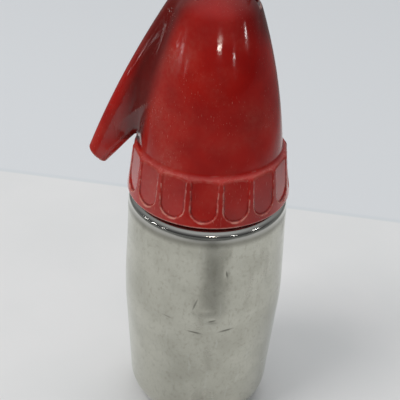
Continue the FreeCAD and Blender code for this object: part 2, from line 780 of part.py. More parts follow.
def check_valve():
    """The one-way valve that hangs under the flange, beside the dip tube."""
    seat = f"({FLANGE_BASE} - check_seat_drop)"
    foot = f"({FLANGE_BASE} - check_length)"
    top = f"({FLANGE_TOP} + check_spigot_height)"
    head_base = f"({FLANGE_BASE} - check_head_height)"
    housing = turned("check_valve_body", [
        ("gas_bore", f"{top} - gas_tube_seat"),
        ("gas_tube_radius", f"{top} - gas_tube_seat"),
        ("gas_tube_radius", top),
        ("check_spigot_radius", top),
        ("check_spigot_radius", FLANGE_BASE),
        ("check_head_radius", FLANGE_BASE),
        ("check_head_radius", head_base),
        ("check_radius", head_base),
        ("check_radius", foot),
        ("check_lip_bore", foot),
        ("check_lip_bore", f"{foot} + check_lip_height"),
        ("check_bore", f"{foot} + check_lip_height"),
        ("check_bore", seat),
        ("gas_bore", seat),
    ])
    poppet = ring("check_poppet", "0", "check_poppet_radius", f"{seat} - face_gap - check_poppet_height",
                  f"{seat} - face_gap")
    tube = ring("charge_tube", "gas_bore", "gas_tube_radius", f"{top} - gas_tube_seat",
                f"{INLET} - gas_tube_radius")
    for body in (housing, poppet, tube):
        body.setExpression("Placement.Base.y", bind("inlet_offset"))


def facing_back(body):
    """Lays a turned piece along +Y at the height of the gas inlet."""
    body.Placement = FreeCAD.Placement(Z_AXIS * value(INLET), FreeCAD.Rotation(Z_AXIS, Y_AXIS))


def inlet_parts():
    """The nipple for the gas bulb with its hollow pin, and the cap that covers it."""
    cup = f"({NIPPLE_FACE} - nipple_cup_depth)"
    nipple = turned("charging_nipple", [
        ("0", NIPPLE_INNER),
        ("nipple_radius", NIPPLE_INNER),
        ("nipple_radius", NIPPLE_FACE),
        ("nipple_cup_radius", NIPPLE_FACE),
        ("nipple_cup_radius", cup),
        ("gas_bore", cup),
        ("gas_bore", f"{NIPPLE_INNER} + nipple_plug"),
        ("0", f"{NIPPLE_INNER} + nipple_plug"),
    ])
    facing_back(nipple)
    cross_holes(nipple)
    pin = turned("piercing_pin", [
        ("pierce_bore", f"{cup} - pierce_root"),
        ("gas_bore", f"{cup} - pierce_root"),
        ("gas_bore", cup),
        ("pierce_radius", cup),
        ("pierce_bore", f"{cup} + pierce_length"),
    ])
    cap_face = f"({NIPPLE_FACE} + cap_gap)"
    rise = "(cap_thickness / 2)"
    cap = turned("port_cap", [
        ("0", f"{cap_face} - cap_spigot_length"),
        ("cap_spigot_radius", f"{cap_face} - cap_spigot_length"),
        ("cap_spigot_radius", cap_face),
        ("cap_radius", cap_face),
        ("cap_radius", f"{cap_face} + {rise}"),
        ("0", f"{cap_face} + cap_thickness"),
    ], {4: (f"(cap_radius^2 + {rise}^2) / (2 * {rise})", 1)})
    for body in (pin, cap):
        facing_back(body)


def cross_holes(nipple):
    """The charge tube comes up into the nipple from below and opens into its bore."""
    face = FreeCAD.Vector(0, 0, value("inlet_offset"))
    down = FreeCAD.Rotation(Z_AXIS, Y_AXIS).inverted().multVec(Z_AXIS * -1)
    for name, radius, depth in (("tube_seat", "gas_tube_radius", "nipple_radius - gas_tube_radius"),
                                ("tube_port", "gas_bore", "nipple_radius")):
        plane = plane_at(face + down * value("nipple_radius"), X_AXIS, down)
        sketch = new_sketch(nipple, name + "_outline", "XY_Plane", plane)
        draw_circle(sketch, "0", "0", radius)
        cut(nipple, name, sketch, depth)


def pad(body, name, sketch, width):
    feature = body.newObject("PartDesign::Pad", name)
    feature.Profile = sketch
    feature.Midplane = True
    feature.setExpression("Length", bind(width))
    doc.recompute()
    return feature


def lever():
    """The thumb lever: an eye on the pin, an arm over the stem and an upturned thumb plate."""
    body = new_body("lever")
    under = f"({STEM_TOP} + lever_bottom_gap)"
    arm_top = f"({under} + arm_thickness)"
    sketch = new_sketch(body, "arm_outline", "XZ_Plane")
    draw(sketch, [
        ("-pivot_offset - eye_radius", PIVOT),
        ("-pivot_offset", f"{PIVOT} - eye_radius"),
        ("-stem_radius * 2", under),
        ("stem_radius * 2", under),
        ("nose_radius + arm_back_overhang", f"{under} + arm_back_under"),
        ("nose_radius + arm_back_overhang", f"{arm_top} + arm_back_rise"),
        ("-pivot_offset", f"{PIVOT} + eye_radius"),
    ], {0: ("eye_radius", 1), 6: ("eye_radius", 1)})
    pad(body, "arm", sketch, "2 * (slot_half_width - lever_gap)")
    thumb_start = "(nose_radius - thumb_root_inset)"
    thumb_seat = f"({under} + thumb_root_under)"
    tail = f"({under} + thumb_rise)"
    sketch = new_sketch(body, "thumb_outline", "XZ_Plane")
    draw(sketch, [
        (thumb_start, thumb_seat),
        ("thumb_reach", tail),
        ("thumb_reach - thumb_end_slant", f"{tail} + thumb_thickness"),
        (thumb_start, f"{thumb_seat} + thumb_thickness"),
    ], {0: ("thumb_curve", 1), 2: ("thumb_curve - thumb_thickness", -1)})
    pad(body, "thumb", sketch, "2 * thumb_half_width")
    round_corners(body)
    sketch = new_sketch(body, "eye_outline", "XZ_Plane")
    draw_circle(sketch, "-pivot_offset", PIVOT, "pin_radius + pin_gap")
    cut(body, "eye", sketch, "4 * slot_half_width", both_ways=True)
    return body


def round_corners(body):
    """Rounds the thumb plate's two free corners."""
    reach = value("thumb_reach - thumb_thickness")
    half = value("thumb_half_width")
    plate = body.Tip
    names = []
    for number, edge in enumerate(body.Shape.Edges, start=1):
        middle = edge.CenterOfMass
        at_side = abs(abs(middle.y) - half) < 1e-3
        if middle.x > reach and at_side and edge.Length < 2 * value("thumb_thickness"):
            names.append(f"Edge{number}")
    feature = body.newObject("PartDesign::Fillet", "thumb_corners")
    feature.Base = (plate, names)
    feature.setExpression("Radius", bind("thumb_corner"))
    doc.recompute()


def lever_pin():
    """The pivot through both cheeks of the nose."""
    body = new_body("lever_pin")
    sketch = new_sketch(body, "lever_pin_outline", "XZ_Plane")
    draw_circle(sketch, "-pivot_offset", PIVOT, "pin_radius")
    pad(body, "lever_pin_round", sketch, "pin_length")
    return body


def check_and_write():
    """Stops on any failed object, then writes each piece to its own file."""
    doc.recompute()
    for thing in doc.Objects:
        if "Invalid" in thing.State or "Error" in thing.State:
            raise RuntimeError(f"{thing.Label} failed: {thing.State}")
    os.makedirs("parts", exist_ok=True)
    bodies = [thing for thing in doc.Objects if thing.TypeId == "PartDesign::Body"]
    for body in bodies:
        shape = body.Shape
        if shape.isNull() or not shape.isValid() or not shape.Solids:
            raise RuntimeError(body.Label + " has no valid solid")
        shape.exportStep(f"parts/{body.Label}.step")
        print(f"{body.Label}: {len(shape.Solids)} solid, {shape.Volume:.0f} mm3")


vessel_shell()
neck_ring()
skirt_thread_ring()
seals_on_rim()
base_flange()
head_shell()
valve_body()
outlet_parts()
valve_inside()
springs()
check_valve()
inlet_parts()
lever()
lever_pin()
check_and_write()
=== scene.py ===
# %% [markdown]
# A soda siphon, dressed
#
# The siphon has a red moulded head with a beak, screwed on a spun aluminium bottle. The working
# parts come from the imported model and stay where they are. This script gives every part its
# finish and makes new skins for the parts whose looks matter most: the head, the bottle, the lever
# and the gas cap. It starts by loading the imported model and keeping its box.

# %% Load the frame
import json
import math

import bpy
import numpy as np
from mathutils import Matrix, Vector


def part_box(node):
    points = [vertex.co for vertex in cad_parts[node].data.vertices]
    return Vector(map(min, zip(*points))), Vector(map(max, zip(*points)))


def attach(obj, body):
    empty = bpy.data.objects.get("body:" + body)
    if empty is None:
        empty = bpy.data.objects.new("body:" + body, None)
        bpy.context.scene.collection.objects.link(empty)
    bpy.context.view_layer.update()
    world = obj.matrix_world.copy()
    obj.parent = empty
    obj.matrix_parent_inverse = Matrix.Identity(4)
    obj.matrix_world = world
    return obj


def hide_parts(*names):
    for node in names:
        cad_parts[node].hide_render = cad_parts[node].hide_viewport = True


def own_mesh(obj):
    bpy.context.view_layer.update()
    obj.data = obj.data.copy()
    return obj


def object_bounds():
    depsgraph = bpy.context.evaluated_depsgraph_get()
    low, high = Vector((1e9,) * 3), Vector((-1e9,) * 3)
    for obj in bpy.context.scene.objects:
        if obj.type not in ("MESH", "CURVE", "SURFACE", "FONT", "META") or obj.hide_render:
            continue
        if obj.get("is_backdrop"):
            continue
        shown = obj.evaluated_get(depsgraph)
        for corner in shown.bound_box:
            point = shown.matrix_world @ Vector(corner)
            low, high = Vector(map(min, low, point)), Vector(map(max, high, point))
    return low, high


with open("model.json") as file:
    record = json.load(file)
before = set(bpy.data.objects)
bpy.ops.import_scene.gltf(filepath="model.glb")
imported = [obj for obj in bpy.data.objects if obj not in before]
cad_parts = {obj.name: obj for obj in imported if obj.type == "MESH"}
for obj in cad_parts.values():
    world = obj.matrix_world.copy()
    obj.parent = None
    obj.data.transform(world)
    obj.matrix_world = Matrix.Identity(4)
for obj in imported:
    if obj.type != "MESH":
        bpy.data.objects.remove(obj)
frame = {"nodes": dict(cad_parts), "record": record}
cad_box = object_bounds()
MM = 0.001
print("the packed model is", [round(side / MM, 1) for side in cad_box[1] - cad_box[0]], "mm")

# %% [markdown]
# The photographer stood close and looked down. A camera is a place, a direction and a lens, and this
# lens is long for its sensor. The camera comes first because everything else is judged through it.
# Its small pan, tilt and roll are how the real one was held.

# %% Camera
LENS, SENSOR = 76.14, 36.0
LOOKS_DOWN = math.radians(31.7)
PAN, TILT, ROLL = math.radians(-0.5), math.radians(-1.14), math.radians(-3.25)
AIM = Vector((0.0, 0.0, 157.0)) * MM
AIM_DISTANCE = 493.5 * MM


def turned_pair(first, second, angle):
    """Two directions turned in their own plane."""
    kept, swept = math.cos(angle), math.sin(angle)
    return first * kept - second * swept, first * swept + second * kept


def add_camera():
    """A camera at the photographer's place, held a little askew."""
    forward = Vector((0.0, math.cos(LOOKS_DOWN), -math.sin(LOOKS_DOWN)))
    place = AIM - forward * AIM_DISTANCE
    across, forward = turned_pair(Vector((1.0, 0.0, 0.0)), forward, PAN)
    upward = Vector((0.0, math.sin(LOOKS_DOWN), math.cos(LOOKS_DOWN)))
    upward, forward = turned_pair(upward, forward, TILT)
    across, upward = turned_pair(across, upward, ROLL)
    camera = bpy.data.objects.new("camera", bpy.data.cameras.new("camera"))
    camera.data.lens, camera.data.sensor_width = LENS, SENSOR
    axes = Matrix((across, upward, -forward)).transposed()
    camera.matrix_world = Matrix.Translation(place) @ axes.to_4x4()
    bpy.context.scene.collection.objects.link(camera)
    bpy.context.scene.camera = camera
    return camera


camera = add_camera()
print("camera at", [round(x, 3) for x in camera.matrix_world.translation], "lens", LENS)

# %% [markdown]
# A rounded moulding is awkward to draw face by face: the beak melts into the bullet, and every edge
# of the skirt is soft. It is easier as a field: a function that gives, at any point, the rough
# distance to the surface, negative inside. Two fields are joined by taking the smaller one and cut
# by taking the larger one, and small changes to those rules round the edge between them. All fields
# here work in millimetres.

# %% Joining and cutting fields
def round_join(one, other, radius):
    """Both shapes, with a fillet of that radius in the corner between them."""
    corner = np.hypot(np.maximum(radius - one, 0), np.maximum(radius - other, 0))
    return np.maximum(radius, np.minimum(one, other)) - corner


def round_meet(one, other, radius):
    """What two shapes share, with its edge rounded."""
    corner = np.hypot(np.maximum(radius + one, 0), np.maximum(radius + other, 0))
    return np.minimum(-radius, np.maximum(one, other)) + corner


def melt(one, other, reach):
    """Both shapes, flowing into each other where their surfaces are nearer than reach."""
    overlap = np.maximum(reach - np.abs(one - other), 0)
    return np.minimum(one, other) - overlap ** 2 / (4 * reach)


def arc_centre(start, end, radius):
    """The centre of the arc that turns left from start to end."""
    chord = np.subtract(end, start)
    left = np.array([-chord[1], chord[0]]) / np.hypot(*chord)
    rise = math.sqrt(radius ** 2 - chord @ chord / 4)
    return (np.add(start, end)) / 2 + left * rise


# %% [markdown]
# To show a field, it is sampled on a grid, and a skin is laid where its sign changes. Each cell that
# the surface passes through gets one point, the mean of the places where its edges are crossed, and
# each crossed edge gives a four-sided face between the four cells round it. The grid may be round:
# then its middle axis is an angle, which closes on itself, so that the skin follows a turned shape.

# %% Skin a field
def straight_space(x, y, z):
    """A grid whose axes are those of space itself."""
    return x, y, z


def round_space(radius, angle, level):
    """A grid of radius, angle and level."""
    return radius * np.cos(angle), radius * np.sin(angle), level


def crossed_edges(inside, axis, wraps):
    """The grid edges along one axis where the surface passes, by the number of their first end."""
    ahead = np.roll(inside, -1, axis)
    crossed = inside != ahead
    if not wraps[axis]:
        last = [slice(None)] * 3
        last[axis] = -1
        crossed[tuple(last)] = False
    return np.stack(np.nonzero(crossed), 1)


def skin(field, axes, to_space=straight_space, wraps=(False, False, False)):
    """Points and four-sided faces where the field is zero."""
    sizes = [len(a) for a in axes]
    plane = np.meshgrid(axes[0], axes[1], indexing="ij")
    levels = [field(*to_space(plane[0], plane[1], np.full(plane[0].shape, c))) for c in axes[2]]
    values = np.stack(levels, 2).astype(np.float32)
    inside = values < 0
    quads, places = [], []
    for axis in range(3):
        start = crossed_edges(inside, axis, wraps)
        end = start.copy()
        end[:, axis] = (end[:, axis] + 1) % sizes[axis]
        near, far = values[tuple(start.T)], values[tuple(end.T)]
        share = (near / (near - far))[:, None]
        ends = [np.stack(to_space(*(axes[i][at[:, i]] for i in range(3))), 1) for at in (start, end)]
        place = ends[0] * (1 - share) + ends[1] * share
        side, other = [(1, 2), (2, 0), (0, 1)][axis]
        cells, sound = [], np.ones(len(start), bool)
        for back, over in ((0, 0), (1, 0), (1, 1), (0, 1)):
            cell = start.copy()
            cell[:, side] -= back
            cell[:, other] -= over
            for i in (side, other):
                if wraps[i]:
                    cell[:, i] %= sizes[i]
                sound &= cell[:, i] >= 0
            cells.append(np.ravel_multi_index(np.maximum(cell, 0).T, sizes))
        ring = np.stack(cells, 1)[sound]
        outward = inside[tuple(start.T)][sound]
        quads.append(np.where(outward[:, None], ring, ring[:, ::-1]))
        places.append(place[sound])
    quads, places = np.concatenate(quads), np.concatenate(places)
    cells, faces = np.unique(quads, return_inverse=True)
    faces = faces.reshape(quads.shape)
    counts = np.bincount(faces.ravel())
    points = [np.bincount(faces.ravel(), np.repeat(places[:, i], 4)) / counts for i in range(3)]
    return np.stack(points, 1), faces


# %% [markdown]
# The points of such a skin lie near the surface, not on it. The field's slope says which way the
# surface is, so each point slides along it until the field is zero. A second measure, how the field
# bends round a point, tells the sharp edges from the hollow corners.

# %% Slide on to the surface
TINY = 1e-9


def both_ways(field, points, step):
    """The field a step ahead of each point and a step behind, along each axis."""
    return [(field(*(points + nudge).T), field(*(points - nudge).T)) for nudge in np.eye(3) * step]


def slope(field, points, step=0.05):
    """The field's gradient at each point."""
    return np.stack([ahead - behind for ahead, behind in both_ways(field, points, step)], 1) / (2 * step)


def settle(field, points, rounds=4, longest=0.3, flattest=0.05):
    """Slides each point along the slope on to the surface, never far."""
    for _ in range(rounds):
        steep = slope(field, points)
        squared = np.maximum((steep ** 2).sum(1), flattest)
        move = -steep * (field(*points.T) / squared)[:, None]
        length = np.linalg.norm(move, axis=1, keepdims=True)
        points = points + move * np.minimum(1, longest / np.maximum(length, TINY))
    return points


def sharpness(field, points, step=0.55):
    """How sharply the field bends at each point: above zero on edges, below in corners."""
    around = sum(ahead + behind for ahead, behind in both_ways(field, points, step))
    return (around - 6 * field(*points.T)) / step ** 2


def ball(x, y, z):
    """A ball of 5 mm, to try the skin on."""
    return np.sqrt(x * x + y * y + z * z) - 5


ball_points = settle(ball, skin(ball, [np.arange(-6.0, 7.0)] * 3)[0])
print("a ball's", len(ball_points), "points lie", round(np.abs(ball(*ball_points.T)).max(), 6), "mm off")

# %% [markdown]
# The points and faces become a Blender mesh. It is shaded by the field's own slope, as custom
# normals, so that its small flat faces don't show in the gloss. Numbers such as the sharpness stay
# with the mesh as attributes, one for each point, where a material can read them.

# %% Make a mesh
def add_mesh(name, points, faces, smooth=True):
    """A mesh object from points in millimetres."""
    mesh = bpy.data.meshes.new(name)
    mesh.from_pydata((np.asarray(points) * MM).tolist(), [], [[int(i) for i in face] for face in faces])
    mesh.validate()
    mesh.polygons.foreach_set("use_smooth", [smooth] * len(mesh.polygons))
    piece = bpy.data.objects.new(name, mesh)
    bpy.context.scene.collection.objects.link(piece)
    return piece


def true_normals(piece, field):
    """Shades a mesh by its field's own slope."""
    points = mesh_points(piece) / MM
    steep = slope(field, points)
    steep /= np.maximum(np.linalg.norm(steep, axis=1, keepdims=True), TINY)
    piece.data.normals_split_custom_set_from_vertices(steep.tolist())


def mesh_points(piece):
    """The places of a mesh's points, one row each, in metres."""
    places = np.zeros(len(piece.data.vertices) * 3)
    piece.data.vertices.foreach_get("co", places)
    return places.reshape(-1, 3)


def keep_values(piece, name, values):
    """Stores one number for each point of a mesh, for its material to read."""
    layer = piece.data.attributes.new(name, "FLOAT", "POINT")
    layer.data.foreach_set("value", np.asarray(values, np.float32))


# %% [markdown]
# The head is one moulding. A bullet-shaped wall stands on a fluted skirt with a rounded ledge
# between them, and the beak leans out of the wall like the fin of a fish. The sizes are those of
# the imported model. The beak's back is a very flat arc that turns over near the top. Its sides are a
# slab with round edges, a little hollow behind the ridge. The slab melts into the bullet with a
# wide sweep low down and a narrow one near the top, where it barely stands out.

# %% Outside of the head
SKIRT_BASE, LEDGE, ROOF, SLOT_FLOOR = 157.0, 184.5, 256.241, 266.741
SKIRT_RADIUS, SKIRT_LIP, LEDGE_RADIUS, LEDGE_ROUND, LEDGE_FILLET = 47.0, 1.0, 44.0, 1.8, 3.0
BULLET_FOOT, BULLET_SHOULDER, BULLET_CURVE = (40.4, 187.5), (23.1, 264.5), 337.0
BULLET_SUNK, NOSE_LEVEL, NOSE_RADIUS = 0.5, 256.041, 24.6
FLUTES, FLUTE_TURN, FLUTE_WIDTH, FLUTE_LAND, FLUTE_DEPTH = 16, math.radians(-2.2), 14.1, 3.4, 1.25
FLUTE_EDGE, FLUTE_CORNER = 0.7, 0.6
BEAK_TIP, BEAK_TOP, BEAK_BULGE, BEAK_HALF = (-69.2, 177.7), (-26.3, 266.3), 2.2, 5.5
BEAK_END_DEPTH, BEAK_END_EDGE, BEAK_CAP, OUTLET_TILT = 13.0, 0.9, 26.0, math.radians(42.0)
BEAK_HOLLOW, BEAK_HOLLOW_REACH, BEAK_HOLLOW_FADE = 0.18, 7.0, (8.4, 22.4)
MELT_LEVELS, MELT_REACH = (225.0, 262.0), (15.0, 3.0)
UNDERSIDE, UNDERSIDE_MELT = (-6.0, 4.0), (1.0, 0.3)
bullet_middle = arc_centre(BULLET_FOOT, BULLET_SHOULDER, BULLET_CURVE)
outlet_way = np.array([math.sin(OUTLET_TILT), math.cos(OUTLET_TILT)])
end_way = np.array([outlet_way[1], -outlet_way[0]])


def bullet(x, y, z):
    """The bullet's wall and its round nose."""
    radius = np.hypot(x, y)
    wall = np.hypot(radius - bullet_middle[0], z - bullet_middle[1]) - BULLET_CURVE
    nose = np.hypot(radius, z - NOSE_LEVEL) - NOSE_RADIUS
    return np.maximum(np.where(z > BULLET_SHOULDER[1], nose, wall), LEDGE - BULLET_SUNK - z)


def skirt(x, y, z):
    """The skirt, with a rounded ledge on top."""
    radius = np.hypot(x, y)
    taper = math.atan2(SKIRT_RADIUS - LEDGE_RADIUS, LEDGE - SKIRT_BASE - LEDGE_ROUND - SKIRT_LIP)
    side = (radius - SKIRT_RADIUS) * math.cos(taper) + (z - SKIRT_BASE - SKIRT_LIP) * math.sin(taper)
    return round_meet(round_meet(side, z - LEDGE, LEDGE_ROUND), SKIRT_BASE - z, SKIRT_LIP)


def flutes(x, y, z):
    """The ring of shallow U-shaped recesses in the skirt."""
    radius = np.hypot(x, y)
    sector = 2 * math.pi / FLUTES
    angle = (np.arctan2(y, x) - FLUTE_TURN + sector / 2) % sector - sector / 2
    across, out = radius * np.sin(angle), radius * np.cos(angle)
    lean = math.atan2(SKIRT_RADIUS - LEDGE_RADIUS, LEDGE - SKIRT_BASE)
    face = (out - SKIRT_RADIUS) * math.cos(lean) + (z - SKIRT_BASE) * math.sin(lean)
    half = FLUTE_WIDTH / 2
    outline = np.hypot(across, np.minimum(z - SKIRT_BASE - FLUTE_LAND - half, 0)) - half
    return round_meet(-(face + FLUTE_DEPTH), outline, FLUTE_CORNER)


def beak_back():
    """The flat arc along the beak's back, its centre and radius, and the cap where it turns over."""
    tip, top = np.array(BEAK_TIP), np.array(BEAK_TOP)
    half = np.hypot(*(top - tip)) / 2
    curve = (half ** 2 + BEAK_BULGE ** 2) / (2 * BEAK_BULGE)
    middle = arc_centre(top, tip, curve)
    outward = (top - middle) / curve
    return middle, curve, top - outward * BEAK_CAP, outward


back_middle, back_curve, cap_middle, cap_way = beak_back()


def beak(x, y, z):
    """A leaning slab with round edges, cut square across its tip."""
    back = np.hypot(x - back_middle[0], z - back_middle[1]) - back_curve
    cap = np.hypot(x - cap_middle[0], z - cap_middle[1]) - BEAK_CAP
    past = (x - BEAK_TOP[0]) * -cap_way[1] + (z - BEAK_TOP[1]) * cap_way[0]
    depth = -np.where(past < 0, cap, back)
    from_tip = np.stack([x - BEAK_TIP[0], z - BEAK_TIP[1]])
    under = end_way[0] * from_tip[0] + end_way[1] * from_tip[1] - (BEAK_END_DEPTH - BEAK_HALF)
    along = outlet_way[0] * from_tip[0] + outlet_way[1] * from_tip[1]
    rim = np.maximum(np.maximum(BEAK_HALF - depth, under), 0)
    hollow = BEAK_HOLLOW * np.clip(depth - BEAK_HALF, 0, BEAK_HOLLOW_REACH)
    hollow = hollow * np.interp(along, BEAK_HOLLOW_FADE, (0, 1))
    slab = np.hypot(rim, np.abs(y) + hollow) - BEAK_HALF
    return round_meet(slab, -along, BEAK_END_EDGE), under


def head_outside(x, y, z):
    """Bullet, skirt and flutes, with the beak melted in."""
    body = round_join(bullet(x, y, z), skirt(x, y, z), LEDGE_FILLET)
    body = round_meet(body, -flutes(x, y, z), FLUTE_EDGE)
    fin, under = beak(x, y, z)
    reach = np.interp(z, MELT_LEVELS, MELT_REACH) * np.interp(under, UNDERSIDE, UNDERSIDE_MELT)
    return melt(body, fin, reach)


print("the beak's back is an arc of", round(back_curve), "mm radius")

# %% [markdown]
# Inside, the head is hollow: a wide bore for the screw thread, a seat for the flange, a room for
# the valve and a slot for the lever. These are plain fields too, cut out of the outside. The thread,
# the flange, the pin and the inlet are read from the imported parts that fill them, so that a hole and
# its part agree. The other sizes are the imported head's own.

# %% Inside of the head
def ring_radius(node):
    """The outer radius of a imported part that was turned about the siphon's axis."""
    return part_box(node)[1].x / MM


def middle_of(node):
    """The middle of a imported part's box, in millimetres."""
    low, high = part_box(node)
    return (low + high) / 2 / MM


THREAD_BORE, THREAD_TOP = ring_radius("skirt_thread_ring"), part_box("skirt_thread_ring")[1].z / MM
FLANGE_GAP, FLANGE_TOP = 0.5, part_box("base_flange")[1].z / MM
FLANGE_BORE = ring_radius("base_flange") + FLANGE_GAP
NECK_BORE = 4.4
ROOM_FOOT, ROOM_TOP, ROOM_CURVE = (34.0, FLANGE_TOP + 12.0), (19.5, ROOF), 330.0
SLOT_HALF, SLOT_FRONT, SLOT_EDGE = 6.2, -16.4, 0.6
pin_middle, inlet_middle = middle_of("lever_pin"), middle_of("charging_nipple")
PIN_RADIUS = (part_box("lever_pin")[1].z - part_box("lever_pin")[0].z) / MM / 2
NIPPLE_RADIUS, NIPPLE_INNER = 7.0, 19.5
CAP_POCKET_RADIUS, CAP_POCKET_FLOOR, CAP_POCKET_EDGE = 10.2, 35.8, 0.5
TUBE_RADIUS, TIP_RADIUS, TIP_LENGTH, TUBE_RUN = 3.2, 4.4, 6.0, 74.3
room_middle = arc_centre(ROOM_FOOT, ROOM_TOP, ROOM_CURVE)
mouth_middle = np.array(BEAK_TIP) + end_way * BEAK_END_DEPTH / 2
print("radii of thread, flange and pin:", [round(r, 2) for r in (THREAD_BORE, FLANGE_BORE, PIN_RADIUS)])


def head_room(x, y, z):
    """The turned room inside the head."""
    radius = np.hypot(x, y)
    thread = np.maximum(radius - THREAD_BORE, z - THREAD_TOP)
    flange = np.maximum(radius - FLANGE_BORE, z - FLANGE_TOP)
    wall = np.hypot(radius - room_middle[0], z - room_middle[1]) - ROOM_CURVE
    room = np.maximum(np.where(z < ROOM_FOOT[1], radius - ROOM_FOOT[0], wall), z - ROOF)
    return np.minimum(np.minimum(thread, flange), np.minimum(room, radius - NECK_BORE))


def outlet_hole(x, y, z):
    """The slanting hole for the outlet tube, wider at the mouth for the metal tip."""
    out, up = x - mouth_middle[0], z - mouth_middle[1]
    along = out * outlet_way[0] + up * outlet_way[1]
    radius = np.hypot(out * end_way[0] + up * end_way[1], y)
    tube = np.maximum(radius - TUBE_RADIUS, along - TUBE_RUN)
    return np.minimum(tube, np.maximum(radius - TIP_RADIUS, along - TIP_LENGTH))


def head(x, y, z):
    """The whole moulding: the outside less its room, slot and holes."""
    solid = np.maximum(head_outside(x, y, z), -head_room(x, y, z))
    slot = np.maximum(np.maximum(np.abs(y) - SLOT_HALF, SLOT_FRONT - x), SLOT_FLOOR - z)
    solid = round_meet(solid, -slot, SLOT_EDGE)
    pin = np.hypot(x - pin_middle.x, z - pin_middle.z) - PIN_RADIUS
    inlet = np.hypot(x, z - inlet_middle.z)
    nipple = np.maximum(inlet - NIPPLE_RADIUS, NIPPLE_INNER - y)
    pocket = np.maximum(inlet - CAP_POCKET_RADIUS, CAP_POCKET_FLOOR - y)
    solid = np.maximum(solid, -np.minimum(np.minimum(pin, nipple), outlet_hole(x, y, z)))
    return round_meet(solid, -pocket, CAP_POCKET_EDGE)


# %% [markdown]
# The head is skinned on a round grid that turns with the flutes, so that each recess gets the same
# points. The grid's rows lie close on the skirt, where the edges are, and wide on the smooth wall.
# The room inside needs few faces, so it is thinned by a Decimate modifier that works on those
# points only. How sharply the surface bends is kept with every point: the finish uses it to wear
# the edges pale and to darken the corners with dirt and painted shade. The thin skin round the pin
# counts as an edge all over, so its wear is held back. Each point also keeps how near it lies to
# where the beak melts into the bullet, and the finish paints that hollow dark as shade.

# %% Skin of the head
# Spans of the grid: from, to, step
HEAD_RADII = (2.5, 52.0, 0.75), (52.0, 72.5, 0.9)
HEAD_LEVELS = (155.9, 189.0, 0.6), (189.0, 262.0, 1.45), (262.0, 282.5, 0.7)
FLUTE_STEPS = 23
ROOM_NEAR, ROOM_THINNED, ROOM_PULL = 0.2, 0.8, 10.0
EDGE_FROM, CORNER_FROM, BEND_SPAN = 0.25, 0.12, 0.9
PIN_RIM, PIN_RIM_WEAR = 1.6, 0.3
VALLEY_WIDTH, VALLEY_FOOT = 17.0, LEDGE + 1


def rows(*spans):
    """Levels from span to span, each with its own step."""
    return np.concatenate([np.arange(low, high, step) for low, high, step in spans])


def make_head():
    """The head's skin, thinned inside, with the numbers that its finish reads."""
    angles = np.arange(0, 2 * math.pi, 2 * math.pi / (FLUTES * FLUTE_STEPS)) + FLUTE_TURN
    grid = rows(*HEAD_RADII), angles, rows(*HEAD_LEVELS)
    points, faces = skin(head, grid, round_space, (False, True, False))
    points = settle(head, points)
    piece = add_mesh("head", points, faces)
    inner = np.nonzero(np.abs(head_room(*points.T)) < ROOM_NEAR)[0]
    group = piece.vertex_groups.new(name="room")
    group.add(inner.tolist(), 1.0, "REPLACE")
    thin = piece.modifiers.new("thin", "DECIMATE")
    thin.ratio = 1 - ROOM_THINNED * len(inner) / len(points)
    thin.vertex_group = group.name
    thin.vertex_group_factor = ROOM_PULL
    thinned = piece.evaluated_get(bpy.context.evaluated_depsgraph_get())
    mesh = bpy.data.meshes.new_from_object(thinned)
    piece.modifiers.clear()
    piece.vertex_groups.clear()
    piece.data = mesh
    places = (mesh_points(piece) / MM).T
    bends = sharpness(head, places.T)
    near_pin = np.hypot(places[0] - pin_middle.x, places[2] - pin_middle.z) < PIN_RIM * PIN_RADIUS
    bends[near_pin] *= PIN_RIM_WEAR
    keep_values(piece, "edge", np.clip((bends - EDGE_FROM) / BEND_SPAN, 0, 1))
    keep_values(piece, "corner", np.clip((-bends - CORNER_FROM) / BEND_SPAN, 0, 1))
    # How near each point lies to where the beak melts into the bullet; the finish paints it dark as shade.
    apart = np.abs(bullet(*places) - beak(*places)[0])
    keep_values(piece, "valley_shade", np.clip(1 - apart / VALLEY_WIDTH, 0, 1) * (places[2] > VALLEY_FOOT))
    true_normals(piece, head)
    return piece


head_piece = make_head()
print("head:", len(head_piece.data.vertices), "points,", len(head_piece.data.polygons), "faces")

# %% [markdown]
# Turned parts need no field: their outline is swept round the axis. The outline is a list of
# corners, each with the radius of the arc to the next one, as on a drawing. A positive radius turns
# left, a negative one turns right, and zero means a straight line.

# %% Turn an outline
def dense_outline(corners, step):
    """Points along a closed outline, no further apart than step."""
    places = []
    for i, (radius, level, bend) in enumerate(corners):
        start, end = np.array([radius, level]), np.array(corners[(i + 1) % len(corners)][:2])
        if not bend:
            count = max(1, math.ceil(np.hypot(*(end - start)) / step))
            places += [start + (end - start) * k / count for k in range(count)]
            continue
        middle = arc_centre(start, end, bend) if bend > 0 else arc_centre(end, start, -bend)
        first, last = (math.atan2(*(p - middle)[::-1]) for p in (start, end))
        sweep = (last - first) % (2 * math.pi) if bend > 0 else -((first - last) % (2 * math.pi))
        count = max(3, math.ceil(abs(bend * sweep) / step))
        turns = first + sweep * np.arange(count) / count
        places += [middle + abs(bend) * np.array([math.cos(t), math.sin(t)]) for t in turns]
    return np.array(places)


SHARP_ANGLE = math.radians(35)


